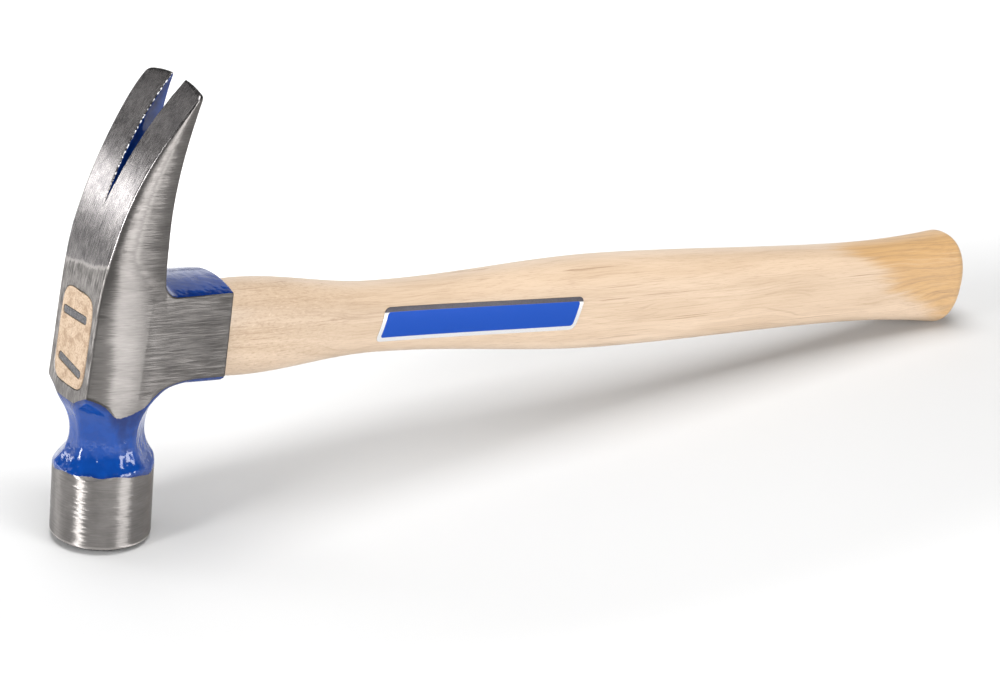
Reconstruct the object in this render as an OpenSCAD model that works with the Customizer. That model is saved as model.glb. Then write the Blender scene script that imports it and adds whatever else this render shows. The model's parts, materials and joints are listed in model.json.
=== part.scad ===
// Framing hammer: a forged steel rip head with a milled face, wedged on a hickory handle.
// The pieces are drawn with the handle along X, the claws up and the face down, and are then
// tipped into the pose in which the hammer stands: on the rim of its face and the edge of its butt.

/* [Overall] */
// Length from the eye end of the head to the end of the butt
overall_l = 406; // [370:1:460]

/* [Handle] */
// Height of the wood where it swells beside the collar
swell_h = 34.4; // [32:0.2:36]
// Width of the wood where it swells beside the collar
swell_w = 25; // [23:0.2:26]
// Distance of the swell from the collar
swell_at = 11; // [6:1:20]
// Height of the slim throat
throat_h = 25.4; // [22:0.2:30]
// Width of the slim throat
throat_w = 21.4; // [19:0.2:24]
// Distance of the throat from the collar
throat_at = 68; // [50:1:80]
// Height of the belly
belly_h = 35.4; // [31:0.2:38]
// Width of the belly
belly_w = 26.4; // [23:0.2:30]
// Distance of the belly from the end of the butt
belly_at = 178; // [150:1:190]
// Height of the grip
grip_h = 31.2; // [28:0.2:34]
// Width of the grip
grip_w = 24.4; // [22:0.2:28]
// Distance of the grip's slimmest place from the end of the butt
grip_at = 60; // [45:1:80]
// Height of the flared butt
butt_h = 37; // [32:0.2:42]
// Width of the flared butt
butt_w = 29; // [25:0.2:34]
// Length of the rounded end of the butt
butt_dome = 7; // [4:0.5:12]
// Squareness of the handle's oval, 2 is an ellipse
handle_square = 2.3; // [2:0.1:3]

/* [Eye] */
// Length of the eye, from the end face to the collar's end
eye_l = 53.6; // [48:0.2:60]
// Height of the eye at the end face
eye_h = 33.2; // [30:0.2:35]
// Width of the eye at the end face
eye_w = 19.2; // [17:0.2:21]
// Height of the eye at the collar's end
eye_h_in = 28.4; // [26:0.2:30]
// Width of the eye at the collar's end
eye_w_in = 18.4; // [16:0.2:20]
// Squareness of the eye's outline
eye_square = 3.6; // [2.4:0.2:5]
// Clearance of the wood in the eye, and of the wedges in the wood
wood_fit = 0.06; // [0.04:0.01:0.15]

/* [Head] */
// Width of the end face between its edges
end_w = 25.3; // [24:0.1:27]
// Width across the swelled cheeks
cheek_w = 28.8; // [28:0.1:31]
// Distance of the cheeks' widest place from the end face
cheek_at = 14; // [10:0.5:18]
// Width across the flats at the collar's end
collar_w = 26.8; // [26:0.1:28]
// Height of the collar's flat side above the handle's axis
collar_up = 17.3; // [16.4:0.1:20]
// Depth of the collar's flat side below the handle's axis
collar_down = 13.2; // [12.6:0.1:15]
// Rise of the collar's domed top
collar_dome = 2.7; // [1.5:0.1:4]
// Fall of the collar's rounded underside
collar_belly = 3.9; // [3.4:0.1:5]
// Lean of the collar's end in degrees
collar_lean = 3; // [0:0.5:5]
// Softening of the collar's end
collar_soft = 0.9; // [0.4:0.1:1.4]
// Step between ground and forged faces of the head
sunk = 0.2; // [0.1:0.05:0.4]

/* [Claws] */
// Height of the claws' tips above the handle's axis
tip_z = 90.7; // [83:0.1:98]
// Width across the two tips
tip_w = 35; // [31:0.1:38]
// Width of the claws' outer face where they start to spread
claw_w = 27.4; // [25.6:0.1:28]
// Radius of the claws' curved outer face
outer_r = 124; // [110:1:150]
// Height at which the outer face starts to curve
bend_z = 12.2; // [8:0.2:14]
// Height at which the claws start to spread
spread_z = 36; // [30:1:45]
// Thickness of the claws at their tips
tip_t = 0.6; // [0.5:0.1:1.4]
// Radius of the hollow inner face
inner_r = 147; // [135:1:170]
// Height of the deepest place of the hollow inner face
inner_z = 49; // [45:0.5:54]
// Radius between the inner face and the collar
claw_fillet = 5; // [3:0.5:7]
// Height of the bottom of the nail slot
slot_z = 47.4; // [42:0.2:55]
// Width of the nail slot at its bottom
slot_root = 0.3; // [0.2:0.1:1]
// Width of the nail slot at the tips
slot_w = 8.6; // [6:0.1:10]
// Extra width of the nail slot on its inner side
slot_bevel = 3; // [0.5:0.1:4]
// Slope of the tips' ends in degrees
tip_slope = 7; // [3:0.5:12]

/* [Poll] */
// Diameter of the poll
poll_d = 34.6; // [32:0.1:37]
// Distance of the poll's axis from the end face, at the handle's axis
poll_x = 14; // [12:0.1:16]
// Cant of the poll's axis in degrees
poll_cant = 6; // [4:0.25:7]
// Distance along the poll's axis to the shoulder
shoulder_d = 45; // [43:0.25:48]
// Distance along the poll's axis to the striking face
face_d = 73; // [66:0.25:80]
// Chamfer round the striking face
face_chamfer = 1.7; // [1:0.1:2.5]
// Pitch of the milled points on the face
mill_pitch = 3.3; // [2.6:0.1:4.5]
// Depth of the milled grooves
mill_depth = 1.1; // [0.6:0.1:1.3]

/* [Neck] */
// Distance along the poll's axis to the waist of the neck
waist_d = 34; // [32:0.25:35]
// Width of the waist along the handle
waist_x = 25.6; // [24:0.2:27]
// Width of the waist across the handle
waist_y = 26.4; // [25:0.2:27.4]
// Width of the waist between its corner flats
waist_corner = 24.4; // [23:0.2:26]
// Offset of the neck's middle from the poll's axis
neck_shift = 0.8; // [0:0.1:1.4]
// Radius of the hollow neck under the eye
neck_r = 21; // [19:0.5:23]
// Radius of the hollow neck under the cheeks
neck_side_r = 45; // [35:1:60]
// Radius of the flare above the poll
flare_r = 14; // [12.5:0.25:16]

/* [Wedges] */
// Width of a steel wedge
wedge_w = 15; // [12:0.2:16]
// Thickness of a steel wedge at the end face
wedge_t = 3.1; // [2.4:0.1:3.6]
// Depth of a steel wedge in the wood
wedge_l = 22; // [16:0.5:26]
// Height of the upper steel wedge above the handle's axis
wedge_up = 7.9; // [6:0.1:9]
// Sideways offset of the upper steel wedge
wedge_up_y = 0.8; // [0:0.1:1.2]
// Turn of the upper steel wedge in degrees
wedge_up_turn = -2; // [-6:1:6]
// Depth of the lower steel wedge below the handle's axis
wedge_down = 9.7; // [8:0.1:10.5]
// Turn of the lower steel wedge in degrees
wedge_down_turn = 10; // [4:1:14]
// Thickness of the wooden wedge at the end face
kerf_t = 3; // [2:0.1:4]
// Depth of the wooden wedge in the kerf
kerf_l = 36; // [30:0.5:42]
// Thickness of a wedge's driven edge
wedge_tip = 0.7; // [0.5:0.1:1]

/* [Label] */
// Length of the label along the handle
label_l = 88; // [60:1:100]
// Height of the label
label_h = 12.6; // [9:0.2:15]
// Distance of the label's middle from the collar
label_at = 109; // [95:1:120]
// Height of the label's middle above the handle's axis
label_up = 0.6; // [-2:0.1:2]
// Slope of the label's ends in degrees
label_slope = 12; // [0:1:25]
// Radius of the label's corners
label_r = 2.4; // [1:0.1:4]
// Thickness of the label
label_t = 0.3; // [0.2:0.05:0.6]
// Clearance between the label and the wood
label_fit = 0.05; // [0.03:0.01:0.1]

/* [Hidden] */

steel = "silver";
wood = "burlywood";
ring_points = 40;
stations = 42;
dome_steps = 6;
arc_steps = 10;
poll_fn = 96;
over = 1;

function mix(a, b, t) = a + (b - a) * t;
function clamp(t) = min(1, max(0, t));
function ease(t) = (1 - cos(180 * clamp(t))) / 2;

// Outline from its right half, which is mirrored to the left
function both_sides(half) = concat([for (i = [len(half) - 1:-1:0]) [-half[i][0], half[i][1]]], half);

// Solid skin over a list of rings that all have the same number of points
module loft(rings) {
    n = len(rings[0]);
    m = len(rings);
    points = [for (ring = rings, p = ring) p];
    sides = [for (j = [0:m - 2], i = [0:n - 1])
        let (a = j * n + i, b = j * n + (i + 1) % n) each [[a, b, b + n], [a, b + n, a + n]]];
    first = [for (i = [n - 1:-1:0]) i];
    last = [for (i = [0:n - 1]) (m - 1) * n + i];
    polyhedron(points, concat(sides, [first, last]), convexity = 6);
}

// Point of a rounded oval at an angle, as [across, up]
function oval(half_w, half_h, square, angle) = [
    half_w * sign(cos(angle)) * pow(abs(cos(angle)), 2 / square),
    half_h * sign(sin(angle)) * pow(abs(sin(angle)), 2 / square)
];

// Oval ring across the handle, which leans with the height by the given slope
function oval_ring(x, half_w, half_h, square, slope = 0) = [
    for (i = [0:ring_points - 1])
        let (p = oval(half_w, half_h, square, -360 * i / ring_points))
            [x - slope * p[1], p[0], p[1]]
];

// Places along the handle
collar_slope = tan(collar_lean);
shoulder_x = eye_l + wood_fit;
swell_x = eye_l + swell_at;
throat_x = eye_l + throat_at;
belly_x = overall_l - belly_at;
grip_x = overall_l - grip_at;
rim_x = overall_l - butt_dome;
shoulder_share = 0.96;

// Size of the wood at a place, eased between its slim and full places
function wood_size(x, swell, throat, belly, grip, butt) =
    x < swell_x ? swell * mix(shoulder_share, 1, sin(90 * (x - shoulder_x) / (swell_x - shoulder_x)))
    : x < throat_x ? mix(swell, throat, ease((x - swell_x) / (throat_x - swell_x)))
    : x < belly_x ? mix(throat, belly, ease((x - throat_x) / (belly_x - throat_x)))
    : x < grip_x ? mix(belly, grip, ease((x - belly_x) / (grip_x - belly_x)))
    : mix(grip, butt, pow((x - grip_x) / (rim_x - grip_x), 2));
function half_h(x) = wood_size(x, swell_h, throat_h, belly_h, grip_h, butt_h) / 2;
function half_w(x) = wood_size(x, swell_w, throat_w, belly_w, grip_w, butt_w) / 2;

// Rounding of the butt's end: how far along it, and what share of the size is left
dome_power = 2.4;
function dome_at(k) = sin(90 * k / dome_steps);
function dome_share(k) = pow(1 - pow(dome_at(k), dome_power), 1 / dome_power);
dome_last = 0.3;
function dome_scale(k) = k == dome_steps ? dome_last : max(dome_last, dome_share(k));

// Half size of the eye at a place along it
function eye_half_h(x) = mix(eye_h, eye_h_in, x / eye_l) / 2;
function eye_half_w(x) = mix(eye_w, eye_w_in, x / eye_l) / 2;

// Poll's axis, down from the handle's axis
function on_axis(d) = [poll_x + d * sin(poll_cant), -d * cos(poll_cant)];
poll_r = poll_d / 2;
face_r = poll_r - face_chamfer;

// Pose at rest: the line from the rim of the face to the lowest place of the butt lies on the floor
rim_low = on_axis(face_d) + face_r * [cos(poll_cant), sin(poll_cant)];
butt_ends = [for (k = [0:dome_steps])
    [rim_x + butt_dome * dome_at(k), butt_h / 2 * dome_scale(k)]];
rest_tilt = min([for (e = butt_ends) atan2(-e[1] - rim_low[1], e[0] - rim_low[0])]);
function tipped(p) = [
    p[0] * cos(rest_tilt) + p[1] * sin(rest_tilt),
    p[1] * cos(rest_tilt) - p[0] * sin(rest_tilt)
];
rim_left = on_axis(face_d - face_chamfer) - poll_r * [cos(poll_cant), sin(poll_cant)];
rest_x = -(tipped(rim_left)[0] + max([for (e = butt_ends) tipped(e)[0]])) / 2;
rest_z = -tipped(rim_low)[1];

module at_rest() {
    translate([rest_x, 0, rest_z]) rotate([0, rest_tilt, 0]) children();
}

// Block round the eye: swelled cheeks, a domed top, a rounded underside and a softened collar end
swell_power = 2.4;
function cheek_half(x) = x < cheek_at
    ? mix(cheek_w, end_w, pow(1 - x / cheek_at, swell_power)) / 2
    : mix(cheek_w, collar_w, (x - cheek_at) / (eye_l - cheek_at)) / 2;
function collar_top(y) = collar_up + collar_dome * (1 - pow(clamp(abs(y) * 2 / cheek_w), 2));
function eye_section(x, inset = 0) =
    let (half = cheek_half(x) - inset, slope = collar_slope * clamp((x - cheek_at) / (eye_l - cheek_at)))
    let (up = [for (k = [0:arc_steps]) let (s = 2 * k / arc_steps - 1)
        [half * s, collar_up - inset + collar_dome * (1 - s * s)]])
    let (down = [for (k = [0:arc_steps]) let (s = 1 - 2 * k / arc_steps)
        [half * s, -collar_down + inset - collar_belly * (1 - s * s)]])
    [for (p = concat(up, down)) [x - slope * p[1], p[0], p[1]]];
cheek_steps = 4;
module eye_block() {
    loft(concat(
        [for (k = [0:cheek_steps]) eye_section(cheek_at * pow(k / cheek_steps, 2))],
        [eye_section(eye_l - collar_soft), eye_section(eye_l, collar_soft)]
    ));
}

// Claws, as level slices that start inside the block round the eye
function outer_x(z) = z < bend_z ? 0 : outer_r - sqrt(outer_r * outer_r - pow(z - bend_z, 2));
inner_sag = inner_r - sqrt(inner_r * inner_r - pow(tip_z - inner_z, 2));
inner_x = outer_x(tip_z) + tip_t - inner_sag;
function inner_face(z) = inner_x + inner_r - sqrt(inner_r * inner_r - pow(z - inner_z, 2));
function fillet_out(rise) = rise > claw_fillet ? 0
    : claw_fillet - sqrt(pow(claw_fillet, 2) - pow(claw_fillet - max(0, rise), 2));
function fillet_foot(y) = collar_top(y) - sunk;
function back_x(z, y) = inner_face(max(z, fillet_foot(y))) + fillet_out(z - fillet_foot(y));
spread_r = (pow(tip_z - spread_z, 2) + pow((tip_w - claw_w) / 2, 2)) / (tip_w - claw_w);
function edge_half(z) = z > spread_z
    ? claw_w / 2 + spread_r - sqrt(spread_r * spread_r - pow(z - spread_z, 2))
    : mix(end_w / 2 - sunk, claw_w / 2, clamp((z - collar_up) / (spread_z - collar_up)));
crown_share = 0.08;
function crown(z) = min((cheek_w - end_w) / 2, crown_share * (inner_face(z) - outer_x(z)));
side_shares = [0, 0.08, 0.25, 0.5, 0.75, 0.92, 1];
back_shares = [0.75, 0.5, 0.25, 0, -0.25, -0.5, -0.75];
function side_y(z, s) = edge_half(z) + crown(z) * (1 - pow(abs(2 * s - 1), swell_power));
function side_line(z) = let (back = back_x(z, edge_half(z)))
    [for (s = side_shares) [mix(outer_x(z), back, s), side_y(z, s), z]];
function claw_slice(z) = let (line = side_line(z), n = len(line), e = edge_half(z)) concat(
    line,
    [for (k = back_shares) [back_x(z, k * e), k * e, z]],
    [for (i = [n - 1:-1:0]) [line[i][0], -line[i][1], z]]
);
claw_root = bend_z + sunk;
fillet_top = collar_up + collar_dome + claw_fillet;
fillet_steps = 6;
claw_steps = 12;
claw_levels = concat(
    [claw_root],
    [for (k = [0:fillet_steps]) mix(fillet_foot(cheek_w / 2), fillet_top, k / fillet_steps)],
    [for (k = [1:claw_steps]) mix(fillet_top, tip_z, k / claw_steps)]
);
module claw_body() {
    loft([for (z = claw_levels) claw_slice(z)]);
}

// Outline of the claws from the front, which slopes their ends and rounds their outer corners
tip_corner = 5;
module tip_outline() {
    fall = (tip_w / 2 - tip_corner) * tan(tip_slope);
    corner = tip_z - fall - tip_corner;
    side = [for (k = [0:arc_steps]) let (a = 90 * k / arc_steps)
        [tip_w / 2 + over - tip_corner * (1 - cos(a)), corner + tip_corner * sin(a)]];
    half = concat([[tip_w / 2 + over, -collar_down - over]], side);
    polygon(concat([[0, tip_z]], both_sides(half)));
}

// V-shaped nail slot as level slices that follow both faces of the claws, a little wider on its inner side
slot_levels = 8;
function slot_slice(z) =
    let (rise = (z - slot_z) / (tip_z - slot_z))
    let (half = mix(slot_root, slot_w, rise) / 2, half_in = half + slot_bevel / 2 * rise)
    let (front = outer_x(z) - sunk, back = inner_face(z) + sunk)
    [[front, half, z], [back, half_in, z], [back, -half_in, z], [front, -half, z]];
module nail_slot() {
    loft([for (k = [0:slot_levels]) slot_slice(mix(slot_z, tip_z + over, k / slot_levels))]);
}

// Hollow-sided outline of the neck between its two flats, drawn along the poll's axis
neck_top = waist_d - neck_r;
module neck_outline(waist, upper_r) {
    upper = [for (k = [0:arc_steps]) let (h = (waist_d - neck_top) * (1 - k / arc_steps))
        [waist / 2 + upper_r - sqrt(max(0, upper_r * upper_r - h * h)), -waist_d + h]];
    lower = [for (k = [1:arc_steps]) let (h = (shoulder_d - waist_d) * k / arc_steps)
        [waist / 2 + flare_r - sqrt(flare_r * flare_r - h * h), -waist_d - h]];
    polygon(both_sides(concat(upper, lower)));
}
module neck_prism(turn, waist, upper_r) {
    rotate([0, 0, turn]) rotate([90, 0, 0])
        linear_extrude(2 * poll_d, center = true) neck_outline(waist, upper_r);
}
// Plan of the forged neck under the eye, a little inside the ground cheeks
module neck_plan() {
    half = concat([for (k = [0:cheek_steps]) cheek_at * pow(k / cheek_steps, 2)], [eye_l]);
    rotate(90) mirror([0, 1]) polygon(both_sides([for (x = half) [cheek_half(x) - sunk, x]]));
}
module neck_body() {
    intersection() {
        translate([poll_x, 0, 0]) rotate([0, -poll_cant, 0]) translate([neck_shift, 0, 0]) intersection() {
            neck_prism(0, waist_x, neck_r);
            neck_prism(90, waist_y, neck_side_r);
            neck_prism(45, waist_corner, neck_r);
            neck_prism(-45, waist_corner, neck_r);
        }
        union() {
            translate([0, 0, -waist_d]) linear_extrude(waist_d) neck_plan();
            translate([poll_x, 0, 0]) rotate([0, -poll_cant, 0])
                translate([0, 0, -shoulder_d - over])
                    cylinder(shoulder_d - waist_d + 2 * over, r = poll_r, $fn = poll_fn);
        }
    }
}

// Poll with its chamfered, milled face
groove_count = floor(face_r / mill_pitch);
module mill_grooves() {
    for (turn = [45, -45], k = [-groove_count:groove_count])
        rotate([0, 0, turn]) translate([(k + 0.5) * mill_pitch, 0, -face_d]) rotate([0, 45, 0])
            cube([mill_depth * sqrt(2), poll_d + over, mill_depth * sqrt(2)], center = true);
}
module poll_body() {
    translate([poll_x, 0, 0]) rotate([0, -poll_cant, 0]) difference() {
        rotate_extrude($fn = poll_fn) polygon([
            [0, -shoulder_d], [poll_r, -shoulder_d],
            [poll_r, face_chamfer - face_d], [face_r, -face_d], [0, -face_d]
        ]);
        mill_grooves();
    }
}

module eye_hole() {
    loft([for (x = [-over, eye_l + 2 * over])
        oval_ring(x, eye_half_w(x), eye_half_h(x), eye_square)]);
}

module head() {
    color(steel) at_rest() difference() {
        union() {
            intersection() {
                claw_body();
                rotate([90, 0, 90]) translate([0, 0, -over]) linear_extrude(eye_l) tip_outline();
            }
            eye_block();
            neck_body();
            poll_body();
        }
        eye_hole();
        nail_slot();
    }
}

// Tapered plate driven in from the end face, thick across Z; its cut is wider by the gap and starts outside
module wedge_plate(width, thick, depth, gap) {
    lead = gap > 0 ? over : 0;
    slope = (thick - wedge_tip) / 2 / depth;
    t = thick / 2 + gap + slope * lead;
    e = wedge_tip / 2 + gap - slope * gap;
    rotate([90, 0, 0]) linear_extrude(width + 2 * gap, center = true)
        polygon([[-lead, -t], [-lead, t], [depth + gap, e], [depth + gap, -e]]);
}
module upper_wedge_place() {
    translate([0, wedge_up_y, wedge_up]) rotate([wedge_up_turn, 0, 0]) children();
}
module lower_wedge_place() {
    translate([0, 0, -wedge_down]) rotate([wedge_down_turn, 0, 0]) children();
}
module wedge_cuts(gap) {
    upper_wedge_place() wedge_plate(wedge_w, wedge_t, wedge_l, gap);
    lower_wedge_place() wedge_plate(wedge_w, wedge_t, wedge_l, gap);
}
module kerf_plate(gap) {
    rotate([90, 0, 0]) wedge_plate(eye_h + 2 * over, kerf_t, kerf_l, gap);
}

module handle_body() {
    tenon = [for (x = [0, eye_l]) let (slope = x > 0 ? collar_slope : 0)
        oval_ring(x, eye_half_w(x) - wood_fit, eye_half_h(x) - wood_fit, eye_square, slope)];
    length = rim_x - shoulder_x;
    shaft = [for (k = [0:stations]) let (x = shoulder_x + length * k / stations)
        oval_ring(x, half_w(x), half_h(x), handle_square, x < swell_x ? collar_slope : 0)];
    dome = [for (k = [1:dome_steps])
        let (share = dome_scale(k) / 2)
            oval_ring(rim_x + butt_dome * dome_at(k), butt_w * share, butt_h * share, handle_square)];
    loft(concat(tenon, shaft, dome));
}

module handle() {
    color(wood) at_rest() difference() {
        handle_body();
        kerf_plate(wood_fit);
        wedge_cuts(wood_fit);
    }
}

module wood_wedge() {
    color("tan") at_rest() difference() {
        intersection() {
            kerf_plate(0);
            loft([for (x = [0, eye_l])
                oval_ring(x, eye_half_w(x) - wood_fit, eye_half_h(x) - wood_fit, eye_square)]);
        }
        wedge_cuts(wood_fit);
    }
}

module steel_wedge_upper() {
    color("dimgray") at_rest() upper_wedge_place() wedge_plate(wedge_w, wedge_t, wedge_l, 0);
}

module steel_wedge_lower() {
    color("dimgray") at_rest() lower_wedge_place() wedge_plate(wedge_w, wedge_t, wedge_l, 0);
}

// Label: a thin sheet bent round the near side of the handle
label_columns = 20;
label_rows = 8;
function wood_y(x, z) = half_w(x) * pow(1 - pow(abs(z) / half_h(x), handle_square), 1 / handle_square);
function label_inset(u) = let (d = max(0, label_r - (0.5 - abs(u)) * label_l))
    label_r - sqrt(label_r * label_r - d * d);
function label_point(u, v, lift) =
    let (z = label_up + v * (label_h - 2 * label_inset(u)))
    let (x = eye_l + label_at + u * label_l + (z - label_up) * tan(label_slope))
    [x, -wood_y(x, z) - lift, z];
label_ends = [0, 0.25, 0.6];
function label_shares() = let (corner = label_r / label_l)
    concat([for (s = label_ends) -0.5 + corner * s],
        [for (k = [0:label_columns]) mix(-0.5 + corner, 0.5 - corner, k / label_columns)],
        [for (k = [len(label_ends) - 1:-1:0]) 0.5 - corner * label_ends[k]]);
module label() {
    color("royalblue") at_rest() loft([for (u = label_shares()) concat(
        [for (k = [0:label_rows]) label_point(u, k / label_rows - 0.5, label_fit + label_t)],
        [for (k = [label_rows:-1:0]) label_point(u, k / label_rows - 0.5, label_fit)]
    )]);
}

head();
handle();
wood_wedge();
steel_wedge_upper();
steel_wedge_lower();
label();
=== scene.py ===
"""Dressed model of a framing hammer: a forged rip head wedged on a long hickory handle.

Shapes are drawn in the hammer's own frame, in millimetres. X runs along the handle from the ground end of
the head to the butt, Y runs across it, away from the label, and Z runs up to the claws.
"""

import json
import logging
import math
from dataclasses import dataclass
from enum import Enum
from typing import Any, Callable, Optional, Sequence, Union

import bpy
import numpy as np
from mathutils import Matrix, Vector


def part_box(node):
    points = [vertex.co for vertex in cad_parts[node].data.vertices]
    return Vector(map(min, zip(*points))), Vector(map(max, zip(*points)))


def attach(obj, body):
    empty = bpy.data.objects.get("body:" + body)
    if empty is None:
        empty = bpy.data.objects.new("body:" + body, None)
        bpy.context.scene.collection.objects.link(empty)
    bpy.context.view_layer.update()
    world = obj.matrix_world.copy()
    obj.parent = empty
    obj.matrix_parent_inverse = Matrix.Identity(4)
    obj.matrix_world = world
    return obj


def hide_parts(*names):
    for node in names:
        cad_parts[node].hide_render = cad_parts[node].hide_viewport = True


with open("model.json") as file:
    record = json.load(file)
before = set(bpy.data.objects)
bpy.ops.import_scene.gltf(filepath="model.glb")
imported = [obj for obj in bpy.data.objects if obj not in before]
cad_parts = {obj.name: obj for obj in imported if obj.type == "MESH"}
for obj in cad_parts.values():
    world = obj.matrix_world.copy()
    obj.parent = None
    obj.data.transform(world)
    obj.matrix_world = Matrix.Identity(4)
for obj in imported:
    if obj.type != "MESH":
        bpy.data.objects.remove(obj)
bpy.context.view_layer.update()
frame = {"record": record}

Array = np.ndarray
Distance = Callable[[Array], Array]
Mesh = tuple[Array, list]
Color = tuple[float, float, float]

MM = 0.001
BODY = "root"
# Millimetres by which a cut starts outside the wood.
CUT_PAST = 1.0
log = logging.getLogger("hammer")


def mix(a: Any, b: Any, t: Any) -> Any:
    """Blend from a to b by the share t."""
    return a + (b - a) * t


def ease(t: Any) -> Any:
    """Smooth step from 0 to 1, level at both ends."""
    return (1 - np.cos(np.pi * np.clip(t, 0, 1))) / 2


def rounded_max(a: Array, b: Array, radius: float) -> Array:
    """Meet of two solids with a rounded edge.

    Args:
        a: Signed distances of the first solid, negative inside.
        b: Signed distances of the second solid.
        radius: Radius of the edge between them.

    Returns:
        Signed distances of the meet.
    """
    p = a + radius
    q = b + radius
    corner = np.hypot(np.maximum(p, 0), np.maximum(q, 0))
    return corner + np.minimum(np.maximum(p, q), 0) - radius


def rounded_min(a: Array, b: Array, radius: float) -> Array:
    """Union of two solids with a fillet between them, as signed distances."""
    return -rounded_max(-a, -b, radius)


@dataclass(frozen=True)
class RestPose:
    """Place of the hammer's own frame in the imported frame.

    Attributes:
        tilt: Turn about Y at rest, in radians.
        origin: Place of the own frame's origin, in metres.
    """

    tilt: float
    origin: tuple[float, float, float]

    @classmethod
    def from_record(cls, record: dict[str, Any]) -> "RestPose":
        """Read the pose from the mount on the ground end of the head.

        Args:
            record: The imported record.

        Returns:
            The pose at rest.
        """
        mount = next(m for m in record["mounts"] if m["name"] == "end_face")
        axis = mount["axis"]
        x, _, z = mount["pos_m"]
        return cls(math.atan2(axis[2], -axis[0]), (x, 0.0, z))

    def turn(self, local: Array) -> Array:
        """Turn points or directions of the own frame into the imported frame.

        Args:
            local: Rows of X, Y, Z.

        Returns:
            The turned rows.
        """
        c, s = math.cos(self.tilt), math.sin(self.tilt)
        x, y, z = np.asarray(local, float).reshape(-1, 3).T
        return np.column_stack((c * x + s * z, y, c * z - s * x))

    def place(self, local: Array) -> Array:
        """Points of the own frame, in millimetres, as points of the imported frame, in metres."""
        return self.turn(local) * MM + np.array(self.origin)

    def mapping(self) -> dict[str, tuple[float, float, float]]:
        """Values of a Mapping node that turns packed metres back into own millimetres.

        Returns:
            The node's socket values by name.
        """
        c, s = math.cos(self.tilt), math.sin(self.tilt)
        x, y, z = (value / MM for value in self.origin)
        return {
            "Location": (s * z - c * x, -y, -s * x - c * z),
            "Rotation": (0.0, -self.tilt, 0.0),
            "Scale": (1 / MM, 1 / MM, 1 / MM),
        }


POSE = RestPose.from_record(frame["record"])


class Value:
    """Socket of a node tree. Python's operators on it add Math nodes."""

    def __init__(self, graph: "Graph", socket: bpy.types.NodeSocket) -> None:
        """Keep the tree and the socket."""
        self.graph = graph
        self.socket = socket

    def __add__(self, other: "Number") -> "Value":
        """Sum."""
        return self.graph.math("ADD", self, other)

    def __sub__(self, other: "Number") -> "Value":
        """Difference."""
        return self.graph.math("SUBTRACT", self, other)

    def __rsub__(self, other: "Number") -> "Value":
        """Difference with the sides swapped."""
        return self.graph.math("SUBTRACT", other, self)

    def __mul__(self, other: "Number") -> "Value":
        """Product."""
        return self.graph.math("MULTIPLY", self, other)

    def __truediv__(self, other: "Number") -> "Value":
        """Quotient."""
        return self.graph.math("DIVIDE", self, other)

    def __abs__(self) -> "Value":
        """Size without the sign."""
        return self.graph.math("ABSOLUTE", self)

    def __pow__(self, other: "Number") -> "Value":
        """Power."""
        return self.graph.math("POWER", self, other)

    __radd__ = __add__

    def least(self, other: "Number") -> "Value":
        """Smaller of two values."""
        return self.graph.math("MINIMUM", self, other)

    def most(self, other: "Number") -> "Value":
        """Larger of two values."""
        return self.graph.math("MAXIMUM", self, other)

    def rise(self, low: float, high: float) -> "Value":
        """Smooth rise from 0 at low to 1 at high.

        Args:
            low: Where the rise starts.
            high: Where the rise ends; below low it falls instead.

        Returns:
            The share between 0 and 1.
        """
        flip = high < low
        ends = {"From Min": min(low, high), "From Max": max(low, high)}
        node = self.graph.node(
            "ShaderNodeMapRange", {"interpolation_type": "SMOOTHSTEP"}, {"Value": self, **ends}
        )
        share = Value(self.graph, node.outputs["Result"])
        return 1.0 - share if flip else share


Number = Union[Value, float]
Link = Union[Value, float, Sequence[float]]


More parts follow.
